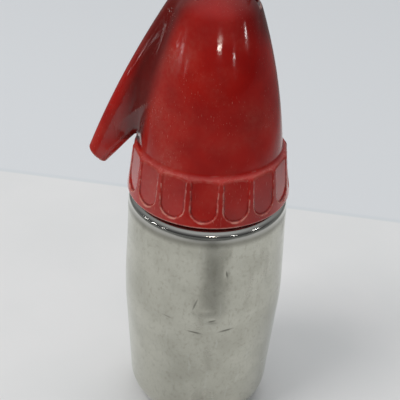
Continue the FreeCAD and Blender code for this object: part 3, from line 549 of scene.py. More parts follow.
def lathe(name, outline, steps, shape=None, place=None):
    """Sweeps an outline round the z axis. shape moves points, place carries them to their seat."""
    turns = 2 * math.pi * np.arange(steps) / steps
    points, rings = [], []
    for radius, level in outline:
        first = sum(len(p) for p in points)
        on_axis = radius < TINY
        rings.append(first + (np.zeros(steps, int) if on_axis else np.arange(steps)))
        ring = np.stack([radius * np.cos(turns), radius * np.sin(turns), np.full(steps, level)], 1)
        points.append(ring[:1] if on_axis else ring)
    points = np.concatenate(points)
    if shape:
        points = shape(points)
    if place:
        points = points @ np.array(place.to_3x3()).T + np.array(place.translation)
    faces = []
    for lower, upper in zip(rings, rings[1:] + rings[:1]):
        for j in range(steps):
            k = (j + 1) % steps
            corners = list(dict.fromkeys([lower[j], lower[k], upper[k], upper[j]]))
            if len(corners) > 2:
                faces.append(corners)
    piece = add_mesh(name, points, faces)
    piece.data.set_sharp_from_angle(angle=SHARP_ANGLE)
    return piece


# %% [markdown]
# The bottle is spun from one sheet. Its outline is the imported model's: a pushed-up bottom, a wall
# that swells a little, a bright rounded shoulder and a neck. It has been used for years, so its
# wall is no longer quite round, and a few knocks show in the light. Each knock is a shallow
# hollow with its own place, width, height and depth. Knocks and waves fade out towards the foot and
# the shoulder, and the wall is drawn in a little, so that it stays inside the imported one.

# %% Bottle
WALL, FOOT_INNER, FOOT_RADIUS, FOOT_ROUND, DOME = 1.6, 22.0, 45.1, 20.0, 6.0
BELLY_RADIUS, BELLY_LEVEL, BELLY_BLEND, BELLY_CURVE = 48.9, 87.6, 11.9, 250.0
SHOULDER_RADIUS, SHOULDER_LEVEL, SHOULDER_ROUND = 46.5, 155.0, 6.0
NECK_RADIUS, NECK_ROUND, RIM = 36.0, 1.5, 171.5
# Each knock: turned from the front towards the right, level, half width, half height, depth
KNOCKS = [
    (-2.0, 99.8, 6.0, 1.2, 0.40), (-22.0, 88.0, 12.0, 2.0, 0.30), (36.0, 92.0, 10.0, 2.4, 0.30),
    (-30.0, 118.0, 3.0, 9.0, 0.24), (30.0, 136.0, 5.0, 4.0, 0.22), (52.0, 110.0, 4.0, 10.0, 0.26),
    (6.0, 60.0, 9.0, 5.0, 0.26), (-38.0, 70.0, 9.0, 7.0, 0.30), (41.0, 52.0, 8.0, 9.0, 0.32),
    (102.0, 96.0, 7.0, 5.0, 0.30), (171.0, 64.0, 9.0, 6.0, 0.34), (-128.0, 112.0, 6.0, 8.0, 0.28),
]
# Each crease is a sharp dent with painted shade along it: turn, level, half width, half height,
# depth, lean in degrees, darkness of the shade
CREASES = [
    (16.3, 126.1, 0.8, 3.4, 0.30, -8.0, 0.70), (-4.3, 105.3, 0.8, 6.0, 0.30, 18.0, 0.50),
    (7.8, 93.5, 3.2, 0.8, 0.26, -14.0, 0.60), (-4.0, 84.7, 6.2, 0.9, 0.36, 10.0, 0.62),
    (18.1, 85.6, 6.2, 0.9, 0.36, -8.0, 0.66), (-24.0, 92.5, 4.4, 0.7, 0.22, 6.0, 0.35),
    (120.0, 90.0, 5.0, 0.9, 0.30, -9.0, 0.55), (-150.0, 78.0, 6.0, 0.9, 0.30, 7.0, 0.50),
]
CREASE_DEEP = 8.0
# Each wave round the wall: height, count, start, turn for each millimetre upwards
WAVES = [(0.10, 2, 0.7, 0.0), (0.07, 3, 0.0, 1 / 31), (0.05, 5, 0.0, -1 / 19)]
DRAWN_IN, KNOCKED_BEYOND = 0.22, 30.0
FADE_FOOT, FADE_SHOULDER = (8.0, 22.0), (134.0, 146.0)
OUTLINE_STEP, BOTTLE_STEPS = 1.5, 288


def bottle_outline():
    """The corners of the bottle's section: up its outside and down its inside."""
    wall_top = SHOULDER_LEVEL - SHOULDER_ROUND
    upper = BELLY_RADIUS - BELLY_BLEND * (BELLY_RADIUS - SHOULDER_RADIUS) / (wall_top - BELLY_LEVEL)
    lower = BELLY_RADIUS - BELLY_BLEND * (BELLY_RADIUS - FOOT_RADIUS) / (BELLY_LEVEL - FOOT_ROUND)
    dome_curve = (FOOT_INNER ** 2 + DOME ** 2) / (2 * DOME)
    flat, edge, mouth = FOOT_RADIUS - FOOT_ROUND, SHOULDER_RADIUS - SHOULDER_ROUND, NECK_RADIUS - WALL
    lower_level, upper_level = BELLY_LEVEL - BELLY_BLEND, BELLY_LEVEL + BELLY_BLEND
    return [
        (FOOT_INNER, 0, 0), (flat, 0, FOOT_ROUND), (FOOT_RADIUS, FOOT_ROUND, 0),
        (lower, lower_level, BELLY_CURVE), (upper, upper_level, 0),
        (SHOULDER_RADIUS, wall_top, SHOULDER_ROUND), (edge, SHOULDER_LEVEL, 0),
        (NECK_RADIUS + NECK_ROUND, SHOULDER_LEVEL, -NECK_ROUND),
        (NECK_RADIUS, SHOULDER_LEVEL + NECK_ROUND, 0), (NECK_RADIUS, RIM, 0),
        (mouth, RIM, 0), (mouth, SHOULDER_LEVEL - WALL, 0),
        (edge, SHOULDER_LEVEL - WALL, WALL - SHOULDER_ROUND), (SHOULDER_RADIUS - WALL, wall_top, 0),
        (upper - WALL, upper_level, WALL - BELLY_CURVE), (lower - WALL, lower_level, 0),
        (FOOT_RADIUS - WALL, FOOT_ROUND, WALL - FOOT_ROUND), (flat, WALL, 0),
        (FOOT_INNER, WALL, dome_curve), (0, DOME + WALL, 0), (0, DOME, -dome_curve),
    ]


def knocked(points):
    """Pushes the wall in where the bottle was knocked, and makes it a little out of round."""
    x, y, z = points.T
    turn = np.degrees(np.arctan2(x, -y))
    push = sum(tall * np.sin(count * np.radians(turn) + start + z * twist)
               for tall, count, start, twist in WAVES) - DRAWN_IN
    for at, level, wide, high, deep in KNOCKS + [crease[:5] for crease in CREASES]:
        across = np.radians((turn - at + 180) % 360 - 180) * BELLY_RADIUS / wide
        push = push - deep * np.exp(-(across ** 2 + ((z - level) / high) ** 2))
    fade = np.interp(z, FADE_FOOT, (0, 1)) * np.interp(z, FADE_SHOULDER, (1, 0))
    radius = np.hypot(x, y)
    factor = 1 + np.where(radius > KNOCKED_BEYOND, push * fade, 0) / np.maximum(radius, 1)
    return np.stack([x * factor, y * factor, z], 1)


bottle = lathe("bottle", dense_outline(bottle_outline(), OUTLINE_STEP), BOTTLE_STEPS, knocked)
print("bottle:", len(bottle.data.polygons), "faces")

# %% [markdown]
# The lever lies in a slot across the nose: an eye on the pin, an arm over the valve's stem and a
# plate for the thumb. It is a field again, cut from a few half-planes, with all its edges rounded
# as a casting's are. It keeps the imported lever's underside, which has to touch the stem.

# %% Lever
LEVER_HALF, EYE_RADIUS, PIN_HOLE = 6.0, 4.6, 1.85
STEM_GAP = 0.1
ARM_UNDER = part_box("valve_stem")[1].z / MM + STEM_GAP
ARM_TOP = (pin_middle.z + EYE_RADIUS, pin_middle.z + 6.7)
ARM_BACK, ARM_BACK_UNDER, STEM_WIDTH = 26.0, ARM_UNDER + 5.0, 4.4
THUMB_START, THUMB_END = (20.2, ARM_UNDER + 4.18), (43.0, ARM_UNDER + 13.5)
THUMB_HALF, THUMB_THICK, THUMB_CURVE, THUMB_CORNER = 9.0, 3.2, 60.0, 6.0
EYE_MELT, BAR_EDGE, PLATE_MELT, PLATE_EDGE, PLATE_HEEL = 1.5, 0.9, 0.5, 1.2, 2.0
GROOVE_DEPTH, GROOVE_HALF, GROOVE_PITCH, GROOVE_SHARE, GROOVE_SPAN = 0.22, 6.5, 2.6, 0.2, (-17, -4)
LEVER_STEP, LEVER_GRID = 0.42, ((-16.4, 44.4), (-9.9, 9.95), (268.3, 289.6))
thumb_middle = arc_centre(THUMB_START, THUMB_END, THUMB_CURVE)


def right_of(start, end, x, z):
    """How far points lie to the right of a line."""
    way = np.subtract(end, start) / np.hypot(*np.subtract(end, start))
    return (x - start[0]) * way[1] - (z - start[1]) * way[0]


def lever_field(x, y, z):
    """Eye, arm and thumb plate; the plate is grooved on top, where a thumb would slip."""
    pivot, under = (pin_middle.x, pin_middle.z), ARM_UNDER
    eye = np.hypot(x - pivot[0], z - pivot[1]) - EYE_RADIUS
    arm = np.maximum(right_of((ARM_BACK, ARM_TOP[1]), (pivot[0], ARM_TOP[0]), x, z), under - z)
    arm = np.maximum(arm, right_of((STEM_WIDTH, under), (ARM_BACK, ARM_BACK_UNDER), x, z))
    arm = np.maximum(np.maximum(arm, pivot[0] - x), x - ARM_BACK)
    bar = round_meet(melt(arm, eye, EYE_MELT), np.abs(y) - LEVER_HALF, BAR_EDGE)
    bent = np.hypot(x - thumb_middle[0], z - thumb_middle[1])
    plate = np.abs(bent - THUMB_CURVE + THUMB_THICK / 2) - THUMB_THICK / 2
    out = np.subtract(THUMB_END, thumb_middle) / THUMB_CURVE
    past = (x - THUMB_END[0]) * -out[1] + (z - THUMB_END[1]) * out[0]
    outline = round_meet(np.abs(y) - THUMB_HALF, past, THUMB_CORNER)
    outline = round_meet(outline, THUMB_START[0] - x, PLATE_HEEL)
    plate = round_meet(plate, outline, PLATE_EDGE)
    grooves = GROOVE_DEPTH * (np.cos(past * 2 * math.pi / GROOVE_PITCH) > GROOVE_SHARE)
    grooves = grooves * np.exp(-((y / GROOVE_HALF) ** 4))
    top = (bent < THUMB_CURVE - THUMB_THICK / 2) & (past > GROOVE_SPAN[0]) & (past < GROOVE_SPAN[1])
    plate = plate + np.where(top, grooves, 0)
    hole = np.hypot(x - pivot[0], z - pivot[1]) - PIN_HOLE
    return np.maximum(melt(bar, plate, PLATE_MELT), -hole)


def make_lever():
    """The lever's skin on a straight grid."""
    points, faces = skin(lever_field, [np.arange(*span, LEVER_STEP) for span in LEVER_GRID])
    points = settle(lever_field, points)
    piece = add_mesh("thumb_lever", points, faces)
    true_normals(piece, lever_field)
    return piece


lever_piece = make_lever()
print("lever:", len(lever_piece.data.polygons), "faces")

# %% [markdown]
# The gas cap is a shallow domed button with a rolled edge. Its outline is written with its own axis
# upright, and the finished piece is laid over on to the gas inlet, behind the head.

# %% Gas cap
CAP_FACE, CAP_RADIUS, CAP_THICK, CAP_DOME = 36.0, 9.6, 3.0, 22.0
SPIGOT_RADIUS, SPIGOT_END, SPIGOT_ROUND = 4.6, CAP_FACE - 3.8, 0.5
RIM_ROUND, RIM_ROLL, RIM_TOP, RIM_INNER, RIM_HOLLOW = 0.4, 0.6, CAP_FACE + 1.5, CAP_RADIUS - 1.6, 0.8
DOME_FOOT = CAP_RADIUS - 2.2, CAP_FACE + 1.8
CAP_STEP, CAP_STEPS = 0.35, 96
CAP_CORNERS = [
    (0, SPIGOT_END, 0), (SPIGOT_RADIUS - SPIGOT_ROUND, SPIGOT_END, SPIGOT_ROUND),
    (SPIGOT_RADIUS, SPIGOT_END + SPIGOT_ROUND, 0), (SPIGOT_RADIUS, CAP_FACE, 0),
    (CAP_RADIUS - RIM_ROUND, CAP_FACE, RIM_ROUND), (CAP_RADIUS, CAP_FACE + RIM_ROUND, 0),
    (CAP_RADIUS, RIM_TOP - RIM_ROLL, RIM_ROLL), (CAP_RADIUS - RIM_ROLL, RIM_TOP, 0),
    (RIM_INNER, RIM_TOP, -RIM_HOLLOW), (*DOME_FOOT, CAP_DOME), (0, CAP_FACE + CAP_THICK, 0),
]
to_inlet = Matrix.Translation((0, 0, inlet_middle.z)) @ Matrix.Rotation(math.radians(-90), 4, "X")
gas_cap = lathe("gas_cap", dense_outline(CAP_CORNERS, CAP_STEP), CAP_STEPS, place=to_inlet)
print("gas cap:", len(gas_cap.data.polygons), "faces")

# %% [markdown]
# Each new piece says which body it moves with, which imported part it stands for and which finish
# it takes.

# %% What the new pieces stand for
def stand_for(piece, body, node, slot):
    """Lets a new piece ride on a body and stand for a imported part, in that part's finish."""
    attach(piece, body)
    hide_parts(node)
    new_pieces.append((piece, slot))
    print(piece.name, "rides on", body, "and stands for", node)


new_pieces = []
stand_for(head_piece, "head", "head_shell", "red_moulding")
stand_for(bottle, "vessel", "vessel_shell", "spun_aluminium")
stand_for(lever_piece, "lever", "lever", "chrome")
stand_for(gas_cap, "cap", "port_cap", "red_moulding")

# %% [markdown]
# The two springs inside are squeezed when the lever is pressed and when gas comes in. They keep the
# imported shape, as copies that ride on the head.

# %% Springs
# Each spring: imported part, joint, level of the end that stays, how far the other end moves
SPRINGS = [("valve_spring", "stem_travel", 192.5, 2.5), ("check_spring", "check_lift", 160.0, 2.0)]

for name, joint, fixed_level, travel in SPRINGS:
    spring = bpy.data.objects.new(name + "_coil", frame["nodes"][name].data.copy())
    bpy.context.scene.collection.objects.link(spring)
    stand_for(spring, "head", name, "steel")
    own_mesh(spring)

# %% [markdown]
# A finish is a tree of nodes. Written out node by node it is hard to read, so a small class wraps a
# socket and lets sums be written as sums: `1 - wear`, `haze * 0.5 + dust`. Any other node comes from
# one function that takes its type, its settings and the values of its sockets.

# %% Wiring
class Wire:
    """One output socket, which can be used in sums."""

    def __init__(self, tree, socket):
        self.tree, self.socket = tree, socket

    def sum(self, operation, *values):
        return add_node(self.tree, "Math", {"operation": operation}, dict(enumerate(values)))

    def __add__(self, other):
        return self.sum("ADD", self, other)

    def __sub__(self, other):
        return self.sum("SUBTRACT", self, other)

    def __mul__(self, other):
        return self.sum("MULTIPLY", self, other)

    def __rsub__(self, other):
        return self.sum("SUBTRACT", other, self)

    __radd__, __rmul__ = __add__, __mul__

    def __abs__(self):
        return self.sum("ABSOLUTE", self)

    def ramp(self, low, high, to_low=0.0, to_high=1.0):
        """Rises smoothly from one value to another while the wire goes from low to high."""
        values = {0: self, 1: low, 2: high, 3: to_low, 4: to_high}
        return add_node(self.tree, "MapRange", {"interpolation_type": "SMOOTHSTEP"}, values)

    def at_least(self, other):
        return self.sum("MAXIMUM", self, other)

    def colour(self, start, end):
        """A colour between two, by this wire."""
        return add_node(self.tree, "Mix", {"data_type": "RGBA"}, {0: self, 6: start, 7: end}, 2)


def add_node(tree, kind, settings=None, values=None, output=0):
    """Adds a node by its type, settings and socket values, and gives one of its outputs."""
    made = tree.nodes.new("ShaderNode" + kind)
    for name, value in (settings or {}).items():
        setattr(made, name, value)
    for name, value in (values or {}).items():
        if isinstance(value, Wire):
            tree.links.new(value.socket, made.inputs[name])
        else:
            made.inputs[name].default_value = value
    return Wire(tree, made.outputs[output])


def empty_tree(owner):
    """The node tree of a material or a world, with nothing in it."""
    owner.use_nodes = True
    owner.node_tree.nodes.clear()
    return owner.node_tree


def to_output(tree, kind, wire):
    """Ends a tree in its output node."""
    output = tree.nodes.new("ShaderNode" + kind)
    tree.links.new(wire.socket, output.inputs["Surface"])


def coordinate(wire, axis):
    """One number of a place or a direction: 0 for x, 1 for y, 2 for z."""
    return add_node(wire.tree, "SeparateXYZ", {}, {0: wire}, axis)


def layered(base, *layers):
    """Lays tones over a base, each as thickly as its wire says."""
    for wire, tone in layers:
        base = wire.colour(base, tone)
    return base


def rgb(red, green, blue):
    """A colour as a screen shows it, 0 to 255, turned into the light it stands for."""
    parts = [value / 255 for value in (red, green, blue)]
    return (*[p / 12.92 if p < 0.04045 else ((p + 0.055) / 1.055) ** 2.4 for p in parts], 1.0)


print("a screen's middle grey stands for", round(rgb(128, 128, 128)[0], 3), "of white's light")

# %% [markdown]
# Every finish here ends in one Principled shader. The patterns that they share have short names:
# noise for blotches, specks for scattered dots, kept for the numbers that a mesh carries, and bump
# for fine relief.

# %% A finish and its patterns
class Finish:
    """A material with one Principled shader, and short names for the patterns used here."""

    def __init__(self, slot):
        self.material = bpy.data.materials.new(slot)
        self.tree = empty_tree(self.material)
        self.place = self.node("TexCoord", output=3)

    def node(self, kind, settings=None, values=None, output=0):
        return add_node(self.tree, kind, settings, values, output)

    def noise(self, scale, detail=2.0):
        """Soft random blotches; scale is in blotches per metre."""
        return self.node("TexNoise", {}, {"Vector": self.place, "Scale": scale, "Detail": detail})

    def streaks(self, x, y, z, detail=2.0):
        """Noise with its own number of blotches per metre along each axis."""
        place = self.node("VectorMath", {"operation": "MULTIPLY"}, {0: self.place, 1: (x, y, z)})
        return self.node("TexNoise", {}, {"Vector": place, "Scale": 1.0, "Detail": detail})

    def specks(self, scale):
        """The distance to the nearest of many scattered points, in cell widths."""
        return self.node("TexVoronoi", {}, {"Vector": self.place, "Scale": scale})

    def kept(self, name):
        """A number that the mesh keeps for each point."""
        return self.node("Attribute", {"attribute_name": name}, output=2)

    def crease(self, turn, level, wide, high, lean, dark):
        """Painted shade along a crease in the bottle's wall, with its own place, size and lean."""
        turn, lean = math.radians(turn), math.radians(lean)
        at = (math.sin(turn) * BELLY_RADIUS * MM, -math.cos(turn) * BELLY_RADIUS * MM, level * MM)
        values = {"Vector": self.place, "Location": at, "Rotation": (0, lean, turn),
                  "Scale": (wide * MM, CREASE_DEEP * MM, high * MM)}
        near = self.node("Mapping", {"vector_type": "TEXTURE"}, values)
        apart = self.node("VectorMath", {"operation": "LENGTH"}, {0: near}, 1)
        return (1 - apart.ramp(0.25, 1.0)) * dark

    def bump(self, height, depth, after=None):
        """Fine relief, on top of an earlier one if given; depth is in millimetres."""
        earlier = {"Normal": after} if after else {}
        return self.node("Bump", {}, {"Distance": depth * MM, "Height": height, **earlier})

    def finish(self, **values):
        """The shader itself: names are those of its sockets, with underscores."""
        named = {name.replace("_", " "): value for name, value in values.items()}
        to_output(self.tree, "OutputMaterial", self.node("BsdfPrincipled", {}, named))
        print(self.material.name, "has", len(self.tree.nodes), "nodes")
        return self.material


# %% [markdown]
# The moulding is a deep warm red that has lost some of its gloss. Broad soft blotches change its
# tone, a film of dust makes it hazy in patches, and a paler hazy band runs upwards some 30 mm
# left of the head's axis. It carries specks and fine scratches that run mostly upwards, along the
# way a hand rubs it. Its edges are worn to a pale pink, its corners are darkened with dirt and
# painted shade, and the hollow where the beak melts into the bullet is painted dark as shade.
# These three come from the numbers that the head's skin keeps.

# %% Red moulding
# In metres, each with where a change starts and ends
DUST_ENDS, LEDGE_FOOT, LEDGE_TOP = (0.19, 0.22), (0.1812, 0.1830), (0.188, 0.190)
PALE_BAND_FROM, PALE_BAND_TO = (-0.046, -0.030), (-0.026, 0.004)
GRAZE_DEPTH, RIPPLE_DEPTH = -0.02, 0.05


def red_moulding():
    """Old glossy moulding: hazy, scratched, worn on its edges and dirty in its corners."""
    red = Finish("red_moulding")
    broad, fine = red.noise(38.0, 3.0), red.noise(420.0, 4.0)
    height, across = coordinate(red.place, 2), coordinate(red.place, 0)
    up = coordinate(red.node("NewGeometry", {}, {}, 1), 2)
    scratches = red.streaks(2600, 2600, 90, 1.0).ramp(0.70, 0.74) * red.noise(45.0).ramp(0.45, 0.62)
    specks = (1 - red.specks(430.0).ramp(0.05, 0.16)) * red.noise(160.0).ramp(0.60, 0.66)
    # A paler hazy band runs upwards some 30 mm left of the head's axis.
    pale_band = (1 - across.ramp(*PALE_BAND_TO)) * across.ramp(*PALE_BAND_FROM)
    haze = (red.noise(55.0, 5.0).ramp(0.40, 0.72) + pale_band * 0.7) * fine.ramp(0.30, 0.70, 0.45, 1.0)
    dust = up.ramp(0.55, 0.95) * fine.ramp(0.35, 0.62, 0.25, 1.0) * (1 - height.ramp(*DUST_ENDS))
    wear = red.kept("edge").ramp(0.05, 0.6) * red.noise(240.0, 4.0).ramp(0.38, 0.62, 0.25, 1.0)
    wear = wear * (1 - height.ramp(*LEDGE_FOOT) * (1 - height.ramp(*LEDGE_TOP)) * 0.75)
    # Hollow corners are darkened with dirt and painted shade.
    corner_shade_and_dirt = red.kept("corner").ramp(0.05, 0.8) * red.noise(130.0, 3.0).ramp(0.3, 0.6, 0.5, 1.0)
    # Painted shade: the hollow where the beak melts into the bullet is darkened.
    valley_shade = red.kept("valley_shade").ramp(0.05, 0.75) * broad.ramp(0.2, 0.6, 0.75, 1.0)
    base = layered(broad.ramp(0.3, 0.7).colour(rgb(164, 20, 17), rgb(192, 31, 23)),
                   (haze * 0.24, rgb(186, 96, 82)), (dust * 0.22, rgb(214, 122, 108)),
                   (corner_shade_and_dirt * 0.6, rgb(72, 12, 12)), (valley_shade * 0.78, rgb(64, 14, 13)),
                   (wear * 0.62, rgb(232, 168, 152)), (scratches * 0.4 + specks * 0.22, rgb(226, 150, 136)))
    rough = 0.07 + haze * 0.14 + dust * 0.2 + wear * 0.25 + scratches * 0.2
    relief = red.bump(scratches + specks * 0.6, GRAZE_DEPTH)
    relief = red.bump(red.noise(150.0, 2.0), RIPPLE_DEPTH, relief)
    return red.finish(Base_Color=base, Roughness=rough, Normal=relief, IOR=1.52)


FINISHES = {"red_moulding": red_moulding()}

# %% [markdown]
# Spun metal carries fine rings, one above the other, left by the tool. They spread each reflection
# up and down, so that the bottle shows tall soft bands and no clear mirror image. Handling has dulled
# it in blotches, and only the shoulder, which the skirt shields, is still bright. A dark band of
# painted reflection runs just below its bright bead, the shoulder's top under the skirt is painted
# dark as the skirt's shade, and each dent's crease carries painted shade.

# %% Spun aluminium
# Levels in metres, each with where a change starts and ends
BRIGHT_FROM, SKIRT_SHADE_FROM = (0.1465, 0.1490), (0.1524, 0.1542)
DARK_BAND_FROM, DARK_BAND_TO = (0.1425, 0.1465), (0.1488, 0.1505)
RING_DEPTH, GRAIN_DEPTH = 0.006, 0.02


def spun_aluminium():
    """Dulled, stained metal with turned rings, a bright shoulder under the skirt, painted shade and
    reflection.
    """
    metal = Finish("spun_aluminium")
    height = coordinate(metal.place, 2)
    rings, bands = metal.streaks(9, 9, 2600, 3.0), metal.streaks(14, 14, 210)
    blotches, grain = metal.noise(46.0, 5.0), metal.noise(900.0, 3.0)
    stains = metal.streaks(70, 70, 24, 4.0).ramp(0.52, 0.78)
    scuffs = metal.streaks(420, 420, 60).ramp(0.66, 0.72)
    fine = metal.streaks(520, 520, 380, 4.0).ramp(0.50, 0.72)
    bright = height.ramp(*BRIGHT_FROM)
    # Painted reflection: a dark band just below the bright bead.
    under = height.ramp(*DARK_BAND_FROM) * (1 - height.ramp(*DARK_BAND_TO))
    dull = (1 - bright) * blotches.ramp(0.35, 0.65, 0.45, 1.0)
    # Painted shade along the crease of each dent.
    crease_shades = [metal.crease(*crease[:4], *crease[5:]) for crease in CREASES]
    # The last layer paints the shoulder's top under the skirt dark, as the skirt's shade.
    base = layered(blotches.ramp(0.3, 0.7).colour(rgb(171, 169, 158), rgb(187, 185, 174)),
                   (stains * (1 - bright) * 0.45, rgb(128, 125, 113)), (scuffs * 0.2, rgb(200, 200, 194)),
                   (fine * (1 - bright) * 0.30, rgb(134, 131, 119)),
                   *[(crease, rgb(58, 56, 49)) for crease in crease_shades], (bright, rgb(222, 220, 214)),
                   (under * 0.55, rgb(92, 90, 82)), (height.ramp(*SKIRT_SHADE_FROM) * 0.8, rgb(44, 44, 42)))
    rough = 0.12 + dull * 0.10 + bands.ramp(0.3, 0.7) * 0.05 * (1 - bright) + stains * 0.08
    relief = metal.bump(grain * 0.3 + blotches, GRAIN_DEPTH, metal.bump(rings, RING_DEPTH))
    return metal.finish(Base_Color=base, Metallic=1.0, Roughness=rough, Normal=relief, Anisotropic=0.55)


FINISHES["spun_aluminium"] = spun_aluminium()

# %% [markdown]
# The other finishes vary one theme: a tone that wanders a little, a roughness that follows smudges,
# and a fine relief. Chrome is smooth with finger marks, brass and steel show the lathe, rubber and
# the plastics are matt.

# %% Small parts' finishes
def small_part(slot, light, dark, metallic, roughness, smudge, relief, along=(1, 1, 1)):
    """A finish between two tones, with smudges and a fine relief."""
    part = Finish(slot)
    patches = part.noise(150.0, 4.0)
    marks = part.streaks(*[900 * a for a in along], 3.0)
    base = layered(patches.ramp(0.35, 0.7).colour(rgb(*light), rgb(*dark)),
                   (marks.ramp(0.5, 0.8) * 0.3, rgb(*dark)))
    rough = roughness + patches.ramp(0.4, 0.7) * smudge + marks.ramp(0.4, 0.7) * smudge * 0.5
    return part.finish(Base_Color=base, Metallic=metallic, Roughness=rough, Normal=part.bump(marks, relief))


# Each finish: slot, light tone, dark tone, metallic, roughness, smudge, relief in mm, stretch
SMALL_FINISHES = [
    ("chrome", (226, 227, 228), (206, 206, 204), 1.0, 0.08, 0.10, 0.003),
    ("brass", (214, 180, 104), (176, 138, 72), 1.0, 0.22, 0.14, 0.010, (0.1, 0.1, 3)),
    ("steel", (196, 197, 198), (164, 164, 162), 1.0, 0.24, 0.12, 0.008, (0.2, 0.2, 2)),
    ("rubber", (40, 40, 41), (28, 28, 29), 0.0, 0.72, 0.15, 0.020),
    ("nylon", (226, 221, 205), (208, 200, 180), 0.0, 0.45, 0.15, 0.010),
    ("tube_plastic", (222, 224, 222), (200, 203, 199), 0.0, 0.35, 0.15, 0.008),
]
for values in SMALL_FINISHES:
    FINISHES[values[0]] = small_part(*values)


def dress(piece, slot):
    """Gives a piece the finish of its slot, and no other."""
    piece.data.materials.clear()
    piece.data.materials.append(FINISHES[slot])


for part in frame["record"]["subparts"]:
    dress(frame["nodes"][part["node"]], part["material_slot"])
for piece, slot in new_pieces:
    dress(piece, slot)
print(len(FINISHES), "finishes;", len(new_pieces), "new pieces have theirs")

# %% [markdown]
# The siphon stands on a pale table, whose far edge shows behind it as a faint line. Here the line is
# only a change of tone on one wide floor, so that the siphon can be seen from all sides. Gloss shows
# the room, though, and the photographed room was dark beyond the table and where the photographer
# stood. So the floor is pale to the eye, but in reflections it darkens with distance and in front.

# %% Table
# In metres: the table's far edge, and where its mirror image darkens, near in front and far all over
TABLE_HALF, TABLE_REACH = 6.0, (0.28, 0.62)
EDGE_AWAY, EDGE_SLANT, EDGE_WIDTH, EDGE_LINE = 0.2309, 0.1346, 0.003, 0.5
SHADE_MIDDLE, SHADE_HALF, SHADE_NEAR, SHADE_WIDE = 0.050, (0.005, 0.085), (0.12, 0.21), (0.26, 0.42)
SHADE_NEAR_DEPTH = 0.6


def add_table():
    """One wide floor, pale to the eye and darker in reflections."""
    half = TABLE_HALF / MM
    corners = [(-half, -half, 0), (half, -half, 0), (half, half, 0), (-half, half, 0)]
    table = add_mesh("table", corners, [(0, 1, 2, 3)], smooth=False)
    pale = Finish("pale_table")
    across, away = coordinate(pale.place, 0), coordinate(pale.place, 1)
    past = away + across * EDGE_SLANT
    beyond = past.ramp(EDGE_AWAY, EDGE_AWAY + EDGE_WIDTH)
    line = past.ramp(EDGE_AWAY - EDGE_WIDTH, EDGE_AWAY)
    line = line * (1 - past.ramp(EDGE_AWAY, EDGE_AWAY + 2 * EDGE_WIDTH))
    tone = layered(pale.noise(9.0, 3.0).ramp(0.3, 0.7).colour(rgb(221, 221, 221), rgb(226, 225, 225)),
                   (beyond, rgb(216, 218, 221)), (line * EDGE_LINE, rgb(196, 204, 210)))
    far = pale.node("VectorMath", {"operation": "LENGTH"}, {0: pale.place}, 1).ramp(*TABLE_REACH)
    aside, toward = abs(across - SHADE_MIDDLE), 0 - away
    shade = (1 - aside.ramp(*SHADE_HALF)) * toward.ramp(*SHADE_NEAR) * SHADE_NEAR_DEPTH
    shade = shade.at_least(toward.ramp(*SHADE_WIDE)).at_least(far)
    mirrored = shade.colour(rgb(240, 241, 241), rgb(98, 100, 98))
    tone = pale.node("LightPath").colour(mirrored, tone)
    table.data.materials.append(pale.finish(Base_Color=tone, Roughness=0.55))
    table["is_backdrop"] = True


add_table()
print("the table is", 2 * TABLE_HALF, "m wide")

# %% [markdown]
# Soft light comes from the whole room, a little more of it from above left. A few small lamps
# stand round the siphon, each in the direction that puts its reflection where the photograph has a
# bright spot on the moulding. Two wide ones high up only add light and don't show in the gloss. All
# are turned to the siphon and hidden from the camera.

# %% Light
WHITE = (1.0, 1.0, 1.0)
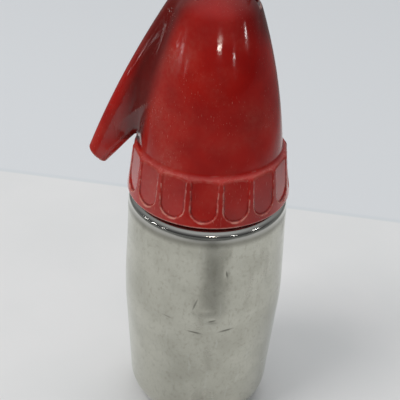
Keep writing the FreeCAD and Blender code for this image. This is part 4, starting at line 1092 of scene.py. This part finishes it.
# Each lamp: turned from the front towards the right, rise, distance, width, height, watts, tint
LAMPS = [
    ("window", 7.9, 13.3, 1.5, 0.22, 0.022, 0.62, (1.0, 0.93, 0.84)),
    ("side", 69.3, 9.9, 1.5, 0.10, 0.05, 0.44, WHITE),
    ("small_right", 38.0, 9.0, 1.5, 0.11, 0.02, 0.15, WHITE),
    ("small_left", -72.4, 4.4, 1.5, 0.14, 0.03, 0.22, WHITE),
    ("faint_left", -56.5, 4.0, 1.5, 0.10, 0.02, 0.08, WHITE),
    ("low_left", -86.1, 2.0, 1.5, 0.10, 0.03, 0.10, WHITE),
    ("sky_left", -64.0, 58.0, 3.0, 1.2, 1.2, 38.0, (1.0, 0.99, 0.97)),
    ("sky_back", 160.0, 60.0, 3.0, 1.6, 1.6, 12.0, WHITE),
]
WIDE_LAMP, LAMP_AIM = 1.0, Vector((0.0, 0.0, 220.0)) * MM
ROOM_LEAST, ROOM_ABOVE, ROOM_BEHIND = 0.12, 0.43, 0.25
ROOM_TINT, ROOM_SEEN = (0.95, 0.98, 1.0, 1), rgb(206, 207, 208)


def add_lamp(name, turn, rise, distance, width, height, watts, tint):
    """A lamp turned to the siphon; only a narrow one shows in the gloss."""
    turn, rise = math.radians(turn), math.radians(rise)
    way = Vector((math.sin(turn) * math.cos(rise), -math.cos(turn) * math.cos(rise), math.sin(rise)))
    lamp = bpy.data.objects.new(name, bpy.data.lights.new(name, "AREA"))
    lamp.data.shape, lamp.data.size, lamp.data.size_y = "RECTANGLE", width, height
    lamp.data.energy, lamp.data.color = watts, tint
    lamp.location = LAMP_AIM + way * distance
    lamp.rotation_euler = way.to_track_quat("Z", "Y").to_euler()
    lamp.visible_camera = False
    lamp.visible_glossy = width < WIDE_LAMP
    bpy.context.scene.collection.objects.link(lamp)


for lamp in LAMPS:
    add_lamp(*lamp)


def add_room():
    """A grey room, dark in front and lighter above and behind, that the camera sees pale."""
    world = bpy.data.worlds.new("room")
    tree = empty_tree(world)
    way = add_node(tree, "TexCoord")
    light = ROOM_LEAST + coordinate(way, 2).ramp(0.0, 0.9) * ROOM_ABOVE
    light = light + coordinate(way, 1).ramp(-0.3, 0.9) * ROOM_BEHIND
    room = light.ramp(0.0, 1.0).colour((0, 0, 0, 1), ROOM_TINT)
    tint = add_node(tree, "LightPath").colour(room, ROOM_SEEN)
    to_output(tree, "OutputWorld", add_node(tree, "Background", {}, {"Color": tint, "Strength": 1.0}))
    bpy.context.scene.world = world


add_room()
print(len(LAMPS), "lamps and a grey room")
bpy.context.scene.view_settings.view_transform = "Standard"

# %% Finish
dressed_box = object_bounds()
for name, box in (("packed", cad_box), ("dressed", dressed_box)):
    print(name, [round(side, 2) for side in (box[1] - box[0]) / MM], "mm")
